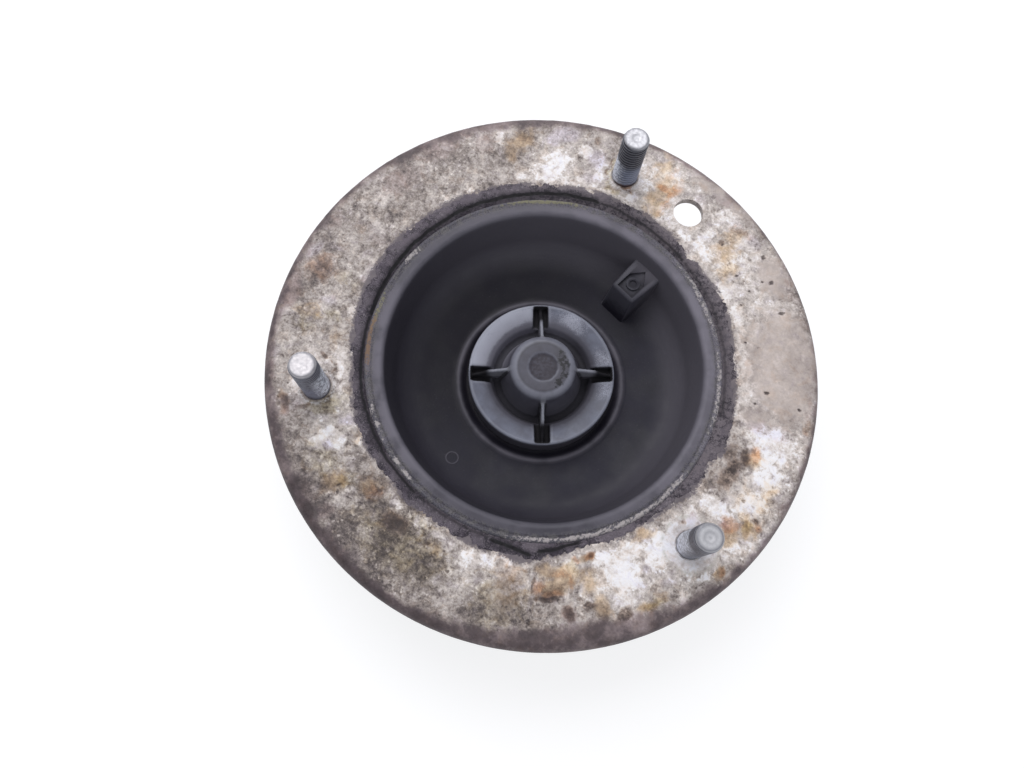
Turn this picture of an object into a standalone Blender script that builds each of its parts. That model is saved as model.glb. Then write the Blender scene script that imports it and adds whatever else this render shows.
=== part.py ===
"""A suspension strut's top mount: a pressed flange with three studs, a rubber cone bonded into its
cup, a hub that holds a sealed ball bearing for the strut's rod, and a plastic dust cap.

Units are metres. +Z runs along the rod, up towards the studs. The origin is on the rod's axis, in
the plane of the hub's foot.
"""

import math

import bmesh
import bpy
from mathutils import Matrix, Vector

# Fit between pieces that touch, seat or are bonded
FIT = 0.0003

# Flange plate, one pressing: turned-down rim, flat ring, drawn cup with an inward lip
FLANGE_TOP = 0.040
FLANGE_RADIUS = 0.0825
PLATE = 0.0025
RIM_BEND = 0.0045
RIM_DROP = 0.0062
MOUTH_RADIUS = 0.0526
MOUTH_BEND = 0.0035
CONE_ANGLE = math.radians(12.0)
CUP_DEPTH = 0.0265
CUP_BEND = 0.002
CUP_LIP = 0.0055

# Studs pressed through the flange, and the locating hole between them. A stud's place is a share of
# the flat ring from the mouth to the rim's inner wall, and so is what its head stands out by.
STUD_COUNT = 3
STUD_PLACE = 0.52555
STUD_RADIUS = 0.004
STUD_HEIGHT = 0.0215
STUD_CHAMFER = 0.0009
STUD_DIMPLE = 0.0013
STUD_DIMPLE_DEPTH = 0.0006
STUD_HEAD = 0.002
STUD_HEAD_SHARE = 0.09124
FIRST_STUD = math.radians(90.0)
LOCATING_RADIUS = 0.0047
LOCATING_ANGLE = math.radians(70.0)

# Ball bearing. The balls' circle is a share of the way from the bore to the outer face, and a ball
# takes a share of its room on that circle.
BORE_RADIUS = 0.00715
BEARING_RADIUS = 0.020
BEARING_WIDTH = 0.011
PITCH_SHARE = 0.5564
BALL_SHARE = 0.8106
BALL_COUNT = 12
BALL_PLAY = 0.00015
GROOVE_DEPTH = 0.00045
RACE_CHAMFER = 0.0006
SPIGOT_STEP = 0.0014
SPIGOT_TOP = 0.0015
SPIGOT_FOOT = 0.0024
CAGE_THICKNESS = 0.0026
CAGE_BACK = 0.0009
CAGE_REACH = 0.0015
POCKET_PLAY = 0.0002
SEAL = 0.0007
SEAL_INSET = 0.0002

# Hub: a turned cup round the bearing, with a foot flange and a neck for the cap
HUB_WALL = 0.0025
HUB_FOOT_RADIUS = 0.031
HUB_ROOT = 0.0015
NECK_STEP = 0.0019
NECK_HEIGHT = 0.0051
EDGE = 0.0004
RING_FOOT = 0.0011
RING = 0.0012
RING_WIDTH = 0.0024
RING_GROOVE = 0.0012
RING_OPENING = math.radians(38.0)
RING_EAR = 0.0019
RING_EYE = 0.0009

# Rubber cone
RUBBER_WALL = 0.005
LIP_RISE = 0.0002
LIP_INNER_ROUND = 0.0022
LIP_OUTER_ROUND = 0.0013
BOWL_DEPTH = 0.017
BOWL_ROUND = 0.008
MOAT_SKIN = 0.0015
MOAT_WIDTH = 0.0043
MOAT_STEP = 0.001
MOAT_DRAFT = 0.0004
MOAT_ROUND = 0.0005
FLOOR_WIDTH = 0.0056
FLOOR_RISE = 0.0008
FLOOR_STEP = 0.0005
FOOT_SKIRT = 0.0014
RELIEF_RADIUS = 0.0358
RELIEF_TOP = 0.0108
RELIEF_ROUND = 0.004

# Moulded block on the bowl's wall, with an arrow panel sunk in its top
BLOCK_ANGLE = math.radians(67.0)
BLOCK_DROP = 0.006
BLOCK_START = 0.0347
BLOCK_FRONT_DRAFT = 0.0026
BLOCK_SIDE_DRAFT = 0.0005
BLOCK_INNER_WIDTH = 0.0086
BLOCK_OUTER_WIDTH = 0.0106
BLOCK_ROOT = 0.0025
BLOCK_BEVEL = 0.0009
ARROW_START = 0.0011
ARROW_SHOULDER = 0.0066
ARROW_TIP = 0.0106
ARROW_WIDTH = 0.0060
ARROW_DEPTH = 0.0005
ARROW_DOT = 0.0021

# Dust cap, a moulded shell pushed on over the hub's neck
CAP_WALL = 0.0015
CAP_HEIGHT = 0.0087
CAP_RIM_ROUND = 0.0006
CAP_DISH = 0.0013
ANNULUS_WIDTH = 0.0068
TROUGH_DEPTH = 0.0055
TROUGH_WIDTH = 0.0031
TROUGH_DRAFT = 0.0007
TROUGH_ROUND = 0.0012
DOME_RISE = 0.007
DOME_SHOULDER_RADIUS = 0.0099
DOME_ROUND = 0.0026
DIAL_RADIUS = 0.0046
DIAL_DEPTH = 0.0005
POCKET_COUNT = 4
POCKET_ANGLE = math.radians(23.0)
POCKET_WIDTH = 0.0047
POCKET_RIM = 0.0009
RIB = 0.0014
RIB_TOP_DROP = 0.001
RIB_SLOPE_START = 0.0178
RIB_SLOPE_DROP = 0.0037
RIB_END_DROP = 0.008

# Facets: an arc's longest step, the fillet below which one flat stands for the arc, the turn below
# which a corner counts as straight, the share of a side that a fillet may take, and sides
ARC_STEP = math.radians(36.0)
FLAT_FILLET = 0.00065
STRAIGHT = math.radians(1.0)
FILLET_SHARE = 0.48
SHARP_EDGE = math.radians(32.0)
WELD = 1e-7
PLATE_SIDES = 72
RUBBER_SIDES = 52
HUB_SIDES = 36
CAP_SIDES = 44
STUD_SIDES = 16
BALL_SIDES = 10
BALL_RINGS = 6
GROOVE_STEPS = 4
BEVEL_STEPS = 2
HOLE_SIDES = 24
DIAL_SIDES = 32
DOT_SIDES = 16
EAR_SIDES = 14
EYE_SIDES = 10
AXIS_MARK = 0.01

# Heights and radii that follow from the values above
plate_underside = FLANGE_TOP - PLATE
ring_span = FLANGE_RADIUS - PLATE - MOUTH_RADIUS
stud_circle = MOUTH_RADIUS + STUD_PLACE * ring_span
stud_head_radius = STUD_RADIUS + STUD_HEAD_SHARE * ring_span
cup_bottom = FLANGE_TOP - CUP_DEPTH
cup_floor = cup_bottom + PLATE
ring_groove_top = RING_FOOT + RING + 2 * FIT
bearing_bottom = ring_groove_top
bearing_middle = bearing_bottom + BEARING_WIDTH / 2
bearing_top = bearing_bottom + BEARING_WIDTH
bearing_seat = BEARING_RADIUS + FIT
hub_radius = bearing_seat + HUB_WALL
shoulder_underside = bearing_top + FIT
shoulder_top = shoulder_underside + HUB_WALL
neck_radius = hub_radius - NECK_STEP
neck_top = shoulder_top + NECK_HEIGHT
moat_floor = shoulder_top + FIT + MOAT_SKIN
cap_bottom = moat_floor + FIT
cap_radius = neck_radius + FIT + CAP_WALL
cap_rim = cap_bottom + CAP_HEIGHT
dome_top = cap_rim + DOME_RISE
lip_top = FLANGE_TOP + LIP_RISE
bowl_floor = FLANGE_TOP - BOWL_DEPTH
pitch_radius = BORE_RADIUS + PITCH_SHARE * (BEARING_RADIUS - BORE_RADIUS)
ball_radius = BALL_SHARE * pitch_radius * math.sin(math.pi / BALL_COUNT)
groove_reach = ball_radius + BALL_PLAY
outer_land = pitch_radius + groove_reach - GROOVE_DEPTH
inner_land = pitch_radius - groove_reach + GROOVE_DEPTH


def remove_scene_objects():
    for item in list(bpy.data.objects):
        bpy.data.objects.remove(item, do_unlink=True)


def make_material(name, colour, roughness, metallic):
    material = bpy.data.materials.new(name)
    material.use_nodes = True
    shader = material.node_tree.nodes["Principled BSDF"]
    shader.inputs["Base Color"].default_value = (*colour, 1.0)
    shader.inputs["Roughness"].default_value = roughness
    shader.inputs["Metallic"].default_value = metallic
    return material


def make_empty(name, height):
    empty = bpy.data.objects.new(name, None)
    empty.empty_display_size = AXIS_MARK
    empty.location = (0.0, 0.0, height)
    bpy.context.scene.collection.objects.link(empty)
    return empty


def link_mesh(name, shape, material=None, parent=None):
    """Turns a bmesh into an object of the scene, smooth on its round faces."""
    mesh = bpy.data.meshes.new(name)
    bmesh.ops.recalc_face_normals(shape, faces=shape.faces)
    shape.to_mesh(mesh)
    shape.free()
    mesh.shade_smooth()
    mesh.set_sharp_from_angle(angle=SHARP_EDGE)
    item = bpy.data.objects.new(name, mesh)
    if material:
        mesh.materials.append(material)
    if parent:
        item.parent = parent
    bpy.context.scene.collection.objects.link(item)
    return item


def rounded(corners, closed=True):
    """The points of a path whose corners are (radius, height, fillet), with an arc at each fillet."""
    points = []
    count = len(corners)
    for index, (x, y, fillet) in enumerate(corners):
        corner = Vector((x, y))
        at_end = not closed and index in (0, count - 1)
        back = Vector(corners[index - 1][:2]) - corner
        ahead = Vector(corners[(index + 1) % count][:2]) - corner
        turn = 0.0 if at_end else math.pi - back.angle(ahead)
        if fillet <= 0.0 or turn < STRAIGHT:
            points.append(corner)
            continue
        longest = FILLET_SHARE * min(back.length, ahead.length)
        reach = min(fillet * math.tan(turn / 2), longest)
        radius = reach / math.tan(turn / 2)
        inward = (back.normalized() + ahead.normalized()).normalized()
        centre = corner + inward * radius / math.cos(turn / 2)
        spoke = corner + back.normalized() * reach - centre
        side = math.copysign(1.0, ahead.x * back.y - ahead.y * back.x)
        steps = 1 if radius < FLAT_FILLET else max(2, math.ceil(turn / ARC_STEP))
        for step in range(steps + 1):
            points.append(centre + Matrix.Rotation(side * turn * step / steps, 2) @ spoke)
    return points


def beside(corners, distance):
    """An open path's corners moved to its left, with each fillet's centre kept."""
    moved = []
    for index, (x, y, fillet) in enumerate(corners):
        here = Vector((x, y))
        before = Vector(corners[max(index - 1, 0)][:2])
        after = Vector(corners[min(index + 1, len(corners) - 1)][:2])
        first = (here - before) if index else (after - here)
        second = (after - here) if index < len(corners) - 1 else first
        first.normalize()
        second.normalize()
        normals = Vector((-first.y, first.x)), Vector((-second.y, second.x))
        mitre = (normals[0] + normals[1]) / (1.0 + normals[0].dot(normals[1]))
        turns_left = first.x * second.y - first.y * second.x > 0.0
        new_fillet = max(fillet - distance if turns_left else fillet + distance, 0.0)
        place = here + mitre * distance
        moved.append((place.x, place.y, new_fillet if fillet > 0.0 else 0.0))
    return moved


def turned(points, sides):
    """A closed outline of (radius, height) points, spun round the Z axis."""
    shape = bmesh.new()
    ring = [shape.verts.new((x, 0.0, y)) for x, y in points]
    edges = [shape.edges.new((ring[i - 1], ring[i])) for i in range(len(ring))]
    on_axis = [edge for edge in edges if all(abs(v.co.x) < WELD for v in edge.verts)]
    for edge in on_axis:
        shape.edges.remove(edge)
        edges.remove(edge)
    bmesh.ops.spin(
        shape,
        geom=ring + edges,
        cent=(0.0, 0.0, 0.0),
        axis=(0.0, 0.0, 1.0),
        angle=math.tau,
        steps=sides,
        use_merge=True,
    )
    bmesh.ops.remove_doubles(shape, verts=shape.verts, dist=WELD)
    return shape


def prism(outline, bottom, top):
    """A flat outline of (x, y) points, extruded from one height to another."""
    shape = bmesh.new()
    face = shape.faces.new([shape.verts.new((x, y, bottom)) for x, y in outline])
    raised = bmesh.ops.extrude_face_region(shape, geom=[face])["geom"]
    lifted = [item for item in raised if isinstance(item, bmesh.types.BMVert)]
    bmesh.ops.translate(shape, verts=lifted, vec=(0.0, 0.0, top - bottom))
    return shape


def circle(radius, sides, centre=(0.0, 0.0)):
    steps = [math.tau * index / sides for index in range(sides)]
    return [(centre[0] + radius * math.cos(a), centre[1] + radius * math.sin(a)) for a in steps]


def box_points(x_low, x_high, half_width):
    return [
        (x_low, -half_width),
        (x_high, -half_width),
        (x_high, half_width),
        (x_low, half_width),
    ]


def joined(shapes):
    """Several separate shapes in one bmesh, for a cutter that cuts in several places."""
    whole = bmesh.new()
    for shape in shapes:
        piece = bpy.data.meshes.new("joined")
        bmesh.ops.recalc_face_normals(shape, faces=shape.faces)
        shape.to_mesh(piece)
        shape.free()
        whole.from_mesh(piece)
        bpy.data.meshes.remove(piece)
    return whole


def placed(shape, angle):
    bmesh.ops.rotate(shape, verts=shape.verts, cent=(0, 0, 0), matrix=Matrix.Rotation(angle, 3, "Z"))
    return shape


def tool(name, shape, parent=None):
    """A helper for a Boolean, which isn't a piece of the mount."""
    helper = link_mesh(name, shape, parent=parent)
    helper.hide_render = True
    helper.display_type = "WIRE"
    return helper


def combine(target, helper, operation):
    modifier = target.modifiers.new(helper.name, "BOOLEAN")
    modifier.operation = operation
    modifier.object = helper
    return modifier


def cone_radius(height, inside):
    """The radius of a cone that lies a level distance inside the cup's inner wall."""
    return MOUTH_RADIUS - (FLANGE_TOP - height) * math.tan(CONE_ANGLE) - inside


def stud_angles():
    return [FIRST_STUD + math.tau * index / STUD_COUNT for index in range(STUD_COUNT)]


def polar(radius, angle):
    return (radius * math.cos(angle), radius * math.sin(angle))


def make_flange_plate(material):
    cup_corner = cone_radius(cup_floor, 0.0)
    upper = [
        (FLANGE_RADIUS, FLANGE_TOP - RIM_DROP, 0.0),
        (FLANGE_RADIUS, FLANGE_TOP, RIM_BEND),
        (MOUTH_RADIUS, FLANGE_TOP, MOUTH_BEND),
        (cup_corner, cup_floor, CUP_BEND),
        (cup_corner - CUP_LIP, cup_floor, 0.0),
    ]
    lower = beside(upper, PLATE)
    outline = rounded(upper, closed=False) + rounded(lower, closed=False)[::-1]
    plate = link_mesh("flange_plate", turned(outline, PLATE_SIDES), material)
    below = plate_underside - PLATE
    above = FLANGE_TOP + PLATE
    holes = [
        prism(circle(STUD_RADIUS + FIT, STUD_SIDES, polar(stud_circle, angle)), below, above)
        for angle in stud_angles()
    ]
    locating = circle(LOCATING_RADIUS, HOLE_SIDES, polar(stud_circle, LOCATING_ANGLE))
    holes.append(prism(locating, below, above))
    combine(plate, tool("flange_holes", joined(holes)), "DIFFERENCE")
    return plate


def make_stud(number, angle, material):
    top = FLANGE_TOP + STUD_HEIGHT
    head_top = plate_underside - FIT
    outline = [
        (0.0, head_top - STUD_HEAD),
        (stud_head_radius, head_top - STUD_HEAD),
        (stud_head_radius, head_top),
        (STUD_RADIUS, head_top),
        (STUD_RADIUS, top - STUD_CHAMFER),
        (STUD_RADIUS - STUD_CHAMFER, top),
        (STUD_DIMPLE, top),
        (STUD_DIMPLE / 2, top - STUD_DIMPLE_DEPTH),
        (0.0, top - STUD_DIMPLE_DEPTH),
    ]
    stud = link_mesh(f"stud_{number}", turned(outline, STUD_SIDES), material)
    x, y = polar(stud_circle, angle)
    stud.location = (x, y, 0.0)
    stud.rotation_euler = (0.0, 0.0, angle)
    return stud


def make_block():
    """The moulded block: drafted on its front and sides, and rooted in the bowl's wall and floor."""
    top = FLANGE_TOP - BLOCK_DROP
    foot = moat_floor + MOAT_STEP / 2
    corners = []
    for height, grow, draft in ((foot, BLOCK_SIDE_DRAFT, BLOCK_FRONT_DRAFT), (top, 0.0, 0.0)):
        inner = BLOCK_START - draft
        outer = cone_radius(height, BLOCK_ROOT)
        inner_half = BLOCK_INNER_WIDTH / 2 + grow
        outer_half = BLOCK_OUTER_WIDTH / 2 + grow
        corners.append((inner, -inner_half, height))
        corners.append((outer, -outer_half, height))
        corners.append((outer, outer_half, height))
        corners.append((inner, inner_half, height))
    shape = bmesh.new()
    v = [shape.verts.new(corner) for corner in corners]
    shape.faces.new((v[3], v[2], v[1], v[0]))
    shape.faces.new((v[4], v[5], v[6], v[7]))
    for i in range(4):
        j = (i + 1) % 4
        shape.faces.new((v[i], v[j], v[j + 4], v[i + 4]))
    shape.edges.ensure_lookup_table()
    soft = [
        edge
        for edge in shape.edges
        if not all(vert.co.z == foot for vert in edge.verts)
        and not all(vert.co.x > BLOCK_START + FIT for vert in edge.verts)
    ]
    bmesh.ops.bevel(
        shape, geom=soft, offset=BLOCK_BEVEL, segments=BEVEL_STEPS, profile=0.5, affect="EDGES"
    )
    return placed(shape, BLOCK_ANGLE)


def make_arrow():
    """A house-shaped panel that points out to the rim, round a dot that stays proud in it."""
    top = FLANGE_TOP - BLOCK_DROP
    half = ARROW_WIDTH / 2
    start = BLOCK_START + ARROW_START
    outline = [
        (start, -half),
        (BLOCK_START + ARROW_SHOULDER, -half),
        (BLOCK_START + ARROW_TIP, 0.0),
        (BLOCK_START + ARROW_SHOULDER, half),
        (start, half),
    ]
    return placed(prism(outline, top - ARROW_DEPTH, top + ARROW_DEPTH), BLOCK_ANGLE)


def make_dot():
    top = FLANGE_TOP - BLOCK_DROP
    centre = (BLOCK_START + (ARROW_START + ARROW_SHOULDER) / 2 + ARROW_DOT / 2, 0.0)
    shape = prism(circle(ARROW_DOT, DOT_SIDES, centre), top - 2 * ARROW_DEPTH, top - ARROW_DEPTH / 3)
    return placed(shape, BLOCK_ANGLE)


def make_rubber_cone(material):
    moat_radius = cap_radius + MOAT_WIDTH
    floor_start = moat_floor + MOAT_STEP
    step_radius = moat_radius + MOAT_DRAFT + FLOOR_WIDTH
    lip_edge = cone_radius(cup_floor, 0.0) - CUP_LIP - FIT
    hub_side = hub_radius + FIT
    neck_side = neck_radius + FIT
    outline = rounded(
        [
            (neck_side, moat_floor, 0.0),
            (moat_radius, moat_floor, MOAT_ROUND),
            (moat_radius + MOAT_DRAFT, floor_start, MOAT_ROUND),
            (step_radius, floor_start + FLOOR_RISE, 0.0),
            (step_radius + FLOOR_STEP, floor_start + FLOOR_RISE + FLOOR_STEP, 0.0),
            (cone_radius(bowl_floor, RUBBER_WALL), bowl_floor, BOWL_ROUND),
            (cone_radius(lip_top, RUBBER_WALL), lip_top, LIP_INNER_ROUND),
            (cone_radius(lip_top, FIT), lip_top, LIP_OUTER_ROUND),
            (cone_radius(cup_floor + FIT, FIT), cup_floor + FIT, CUP_BEND),
            (lip_edge, cup_floor + FIT, 0.0),
            (lip_edge, cup_bottom, EDGE),
            (RELIEF_RADIUS, RELIEF_TOP, RELIEF_ROUND),
            (HUB_FOOT_RADIUS + FOOT_SKIRT, HUB_WALL + FIT, EDGE),
            (hub_side, HUB_WALL + FIT, HUB_ROOT),
            (hub_side, shoulder_top + FIT, EDGE),
            (neck_side, shoulder_top + FIT, 0.0),
        ]
    )
    rubber = link_mesh("rubber_cone", turned(outline, RUBBER_SIDES), material)
    combine(rubber, tool("block_body", make_block()), "UNION")
    combine(rubber, tool("arrow_panel", make_arrow()), "DIFFERENCE")
    combine(rubber, tool("arrow_dot", make_dot()), "UNION")
    return rubber


def make_hub_housing(material):
    groove_radius = bearing_seat + RING_GROOVE
    outline = rounded(
        [
            (HUB_FOOT_RADIUS, 0.0, EDGE),
            (HUB_FOOT_RADIUS, HUB_WALL, EDGE),
            (hub_radius, HUB_WALL, HUB_ROOT),
            (hub_radius, shoulder_top, EDGE),
            (neck_radius, shoulder_top, 0.0),
            (neck_radius, neck_top, EDGE),
            (neck_radius - HUB_WALL, neck_top, EDGE),
            (neck_radius - HUB_WALL, shoulder_underside, EDGE),
            (bearing_seat, shoulder_underside, 0.0),
            (bearing_seat, ring_groove_top, 0.0),
            (groove_radius, ring_groove_top, 0.0),
            (groove_radius, RING_FOOT, 0.0),
            (bearing_seat, RING_FOOT, 0.0),
            (bearing_seat, 0.0, EDGE),
        ]
    )
    return link_mesh("hub_housing", turned(outline, HUB_SIDES), material)


def groove_points(land, facing):
    """The ball groove's arc in a race, from its low edge to its high one."""
    half = math.acos(abs(pitch_radius - land) / groove_reach)
    points = []
    for step in range(GROOVE_STEPS + 1):
        angle = half * (2 * step / GROOVE_STEPS - 1)
        radius = pitch_radius + facing * groove_reach * math.cos(angle)
        points.append((radius, groove_reach * math.sin(angle)))
    return points


def make_outer_race(material, parent):
    half = BEARING_WIDTH / 2
    chamfer = RACE_CHAMFER
    outline = [
        (outer_land, -half),
        (BEARING_RADIUS - chamfer, -half),
        (BEARING_RADIUS, chamfer - half),
        (BEARING_RADIUS, half - chamfer),
        (BEARING_RADIUS - chamfer, half),
        (outer_land, half),
    ]
    outline += groove_points(outer_land, 1.0)[::-1]
    return link_mesh("outer_race", turned(outline, HUB_SIDES), material, parent)


def make_inner_race(material, parent):
    half = BEARING_WIDTH / 2
    chamfer = RACE_CHAMFER
    spigot = inner_land - SPIGOT_STEP
    top = half + SPIGOT_TOP
    foot = -half - SPIGOT_FOOT
    outline = [
        (BORE_RADIUS, top - chamfer),
        (BORE_RADIUS, foot + chamfer),
        (BORE_RADIUS + chamfer, foot),
        (spigot, foot),
        (spigot, -half),
        (inner_land, -half),
    ]
    outline += groove_points(inner_land, -1.0)
    outline += [
        (inner_land, half),
        (spigot, half),
        (spigot, top),
        (BORE_RADIUS + chamfer, top),
    ]
    return link_mesh("inner_race", turned(outline, HUB_SIDES), material, parent)


def sphere(radius):
    shape = bmesh.new()
    bmesh.ops.create_uvsphere(shape, u_segments=BALL_SIDES, v_segments=BALL_RINGS, radius=radius)
    return shape


def ball_places():
    steps = [math.tau * index / BALL_COUNT for index in range(BALL_COUNT)]
    return [polar(pitch_radius, angle) for angle in steps]


def make_ball_cage(material, parent):
    inner = pitch_radius - CAGE_THICKNESS / 2
    outer = pitch_radius + CAGE_THICKNESS / 2
    pocket = ball_radius + POCKET_PLAY
    low = -pocket - CAGE_BACK
    outline = [(inner, low), (outer, low), (outer, CAGE_REACH), (inner, CAGE_REACH)]
    cage = link_mesh("ball_cage", turned(outline, HUB_SIDES), material, parent)
    pockets = []
    for x, y in ball_places():
        shape = sphere(pocket)
        bmesh.ops.translate(shape, verts=shape.verts, vec=(x, y, 0.0))
        pockets.append(shape)
    combine(cage, tool("cage_pockets", joined(pockets), parent), "DIFFERENCE")
    return cage


def make_ball(number, place, material, parent):
    ball = link_mesh(f"ball_{number:02d}", sphere(ball_radius), material, parent)
    ball.location = (place[0], place[1], 0.0)
    return ball


def make_seal(name, side, material, parent):
    """A flat ring that closes the bearing between its races, on its upper or lower side."""
    outer_face = side * (BEARING_WIDTH / 2 - SEAL_INSET)
    inner_face = outer_face - side * SEAL
    outline = [
        (inner_land + FIT, outer_face),
        (outer_land - FIT, outer_face),
        (outer_land - FIT, inner_face),
        (inner_land + FIT, inner_face),
    ]
    return link_mesh(name, turned(outline, HUB_SIDES), material, parent)


def make_retaining_ring(material):
    """An internal snap ring: a flat split ring with an eyed ear at each end."""
    outer = bearing_seat + RING_GROOVE - FIT
    inner = outer - RING_WIDTH
    low = RING_FOOT + FIT
    high = low + RING
    span = math.tau - RING_OPENING
    start = -math.pi / 2 + RING_OPENING / 2
    steps = HUB_SIDES
    angles = [start + span * step / steps for step in range(steps + 1)]
    outline = [polar(outer, angle) for angle in angles] + [polar(inner, angle) for angle in angles[::-1]]
    ring = link_mesh("retaining_ring", prism(outline, low, high), material)
    ears = []
    eyes = []
    for turn in (start, start + span):
        centre = polar(inner + RING_WIDTH / 2 - RING_EAR / 2, turn)
        ears.append(prism(circle(RING_EAR, EAR_SIDES, centre), low, high))
        eyes.append(prism(circle(RING_EYE, EYE_SIDES, centre), low - RING, high + RING))
    combine(ring, tool("ring_ears", joined(ears)), "UNION")
    combine(ring, tool("ring_eyes", joined(eyes)), "DIFFERENCE")
    return ring


def cap_skin(inset):
    """The cap's outer skin, or a skin that lies inside it by a wall, from the rim in to the axis."""
    annulus_inner = cap_radius - ANNULUS_WIDTH
    trough_outer = annulus_inner - TROUGH_DRAFT
    trough_inner = trough_outer - TROUGH_WIDTH
    trough = cap_rim - TROUGH_DEPTH
    skin = [
        (cap_radius, cap_bottom, 0.0),
        (cap_radius, cap_rim, CAP_RIM_ROUND),
        (annulus_inner, cap_rim - CAP_DISH, TROUGH_ROUND / 2),
        (trough_outer, trough, TROUGH_ROUND),
        (trough_inner, trough, TROUGH_ROUND),
        (DOME_SHOULDER_RADIUS, dome_top, DOME_ROUND),
        (0.0, dome_top, 0.0),
    ]
    return beside(skin, inset) if inset else skin


def make_pocket(wall):
    """The room of a pocket beside a rib, or that room grown by the cap's wall."""
    floor = neck_top + FIT + CAP_WALL - wall
    start = cap_radius - ANNULUS_WIDTH - TROUGH_WIDTH / 2 - wall
    end = cap_radius - POCKET_RIM + wall
    return prism(box_points(start, end, POCKET_WIDTH / 2 + wall), floor, cap_rim + CAP_WALL)


def make_rib():
    outline = [
        (DOME_SHOULDER_RADIUS / 2, cap_rim - TROUGH_DEPTH - FIT),
        (cap_radius - POCKET_RIM + FIT, cap_rim - TROUGH_DEPTH - FIT),
        (cap_radius - POCKET_RIM + FIT, dome_top - RIB_END_DROP),
        (RIB_SLOPE_START, dome_top - RIB_SLOPE_DROP),
        (DOME_SHOULDER_RADIUS / 2, dome_top - RIB_TOP_DROP),
    ]
    shape = prism(outline, -RIB / 2, RIB / 2)
    bmesh.ops.rotate(
        shape, verts=shape.verts, cent=(0, 0, 0), matrix=Matrix.Rotation(math.pi / 2, 3, "X")
    )
    return shape


def make_dust_cap(material, parent):
    turns = [POCKET_ANGLE + math.tau * index / POCKET_COUNT for index in range(POCKET_COUNT)]
    outline = rounded(cap_skin(0.0), closed=False)
    outline += [Vector((0.0, cap_bottom))]
    cap = link_mesh("dust_cap", turned(outline, CAP_SIDES), material, parent)

    room = rounded(cap_skin(CAP_WALL), closed=False)
    room[0] = Vector((room[0].x, cap_bottom - CAP_WALL))
    room[-1] = Vector((0.0, room[-1].y))
    room += [Vector((0.0, cap_bottom - CAP_WALL))]
    hollow = tool("cap_hollow", turned(room, CAP_SIDES), parent)
    walls = joined([placed(make_pocket(CAP_WALL), turn) for turn in turns])
    combine(hollow, tool("pocket_walls", walls, parent), "DIFFERENCE")

    pockets = joined([placed(make_pocket(0.0), turn) for turn in turns])
    combine(cap, tool("cap_pockets", pockets, parent), "DIFFERENCE")
    ribs = joined([placed(make_rib(), turn) for turn in turns])
    combine(cap, tool("cap_ribs", ribs, parent), "UNION")
    combine(cap, hollow, "DIFFERENCE")
    dial = prism(circle(DIAL_RADIUS, DIAL_SIDES), dome_top - DIAL_DEPTH, dome_top + DIAL_DEPTH)
    combine(cap, tool("cap_dial", dial, parent), "DIFFERENCE")
    return cap


def main():
    remove_scene_objects()
    zinc = make_material("zinc_plated_sheet", (0.30, 0.27, 0.24), 0.7, 0.6)
    stud_zinc = make_material("zinc_plated_stud", (0.42, 0.43, 0.45), 0.45, 0.9)
    rubber = make_material("rubber", (0.022, 0.021, 0.025), 0.6, 0.0)
    hub_steel = make_material("coated_steel", (0.05, 0.05, 0.055), 0.5, 0.7)
    race_steel = make_material("bearing_steel", (0.50, 0.50, 0.52), 0.25, 1.0)
    cage_plastic = make_material("cage_plastic", (0.10, 0.16, 0.08), 0.5, 0.0)
    seal_rubber = make_material("seal_rubber", (0.03, 0.03, 0.03), 0.6, 0.0)
    spring_steel = make_material("spring_steel", (0.10, 0.10, 0.11), 0.4, 1.0)
    cap_plastic = make_material("cap_plastic", (0.045, 0.047, 0.055), 0.4, 0.0)

    make_flange_plate(zinc)
    for index, angle in enumerate(stud_angles()):
        make_stud(index + 1, angle, stud_zinc)
    make_rubber_cone(rubber)
    make_hub_housing(hub_steel)
    make_retaining_ring(spring_steel)

    bearing_axis = make_empty("bearing_axis", bearing_middle)
    make_outer_race(race_steel, bearing_axis)
    make_inner_race(race_steel, bearing_axis)
    make_ball_cage(cage_plastic, bearing_axis)
    for index, place in enumerate(ball_places()):
        make_ball(index + 1, place, race_steel, bearing_axis)
    make_seal("upper_seal", 1.0, seal_rubber, bearing_axis)
    make_seal("lower_seal", -1.0, seal_rubber, bearing_axis)

    cap_axis = make_empty("cap_axis", 0.0)
    make_dust_cap(cap_plastic, cap_axis)


main()
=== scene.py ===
import math

import bmesh
import bpy
import numpy as np
from mathutils import Matrix, Vector


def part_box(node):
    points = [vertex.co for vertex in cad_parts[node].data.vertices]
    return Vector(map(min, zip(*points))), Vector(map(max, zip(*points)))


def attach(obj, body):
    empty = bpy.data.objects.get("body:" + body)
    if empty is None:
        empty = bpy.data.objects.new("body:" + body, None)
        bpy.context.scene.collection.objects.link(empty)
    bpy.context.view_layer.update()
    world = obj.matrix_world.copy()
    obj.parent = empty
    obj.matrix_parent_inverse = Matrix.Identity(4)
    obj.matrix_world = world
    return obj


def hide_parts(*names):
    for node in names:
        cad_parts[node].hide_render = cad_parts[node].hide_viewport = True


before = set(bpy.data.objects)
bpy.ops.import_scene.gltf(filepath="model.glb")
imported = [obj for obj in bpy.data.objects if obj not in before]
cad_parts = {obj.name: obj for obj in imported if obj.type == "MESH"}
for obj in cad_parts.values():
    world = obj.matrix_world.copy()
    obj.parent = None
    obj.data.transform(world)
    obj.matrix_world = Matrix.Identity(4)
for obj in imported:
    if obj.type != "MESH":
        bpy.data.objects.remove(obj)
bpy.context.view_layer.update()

mm = 0.001


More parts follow.
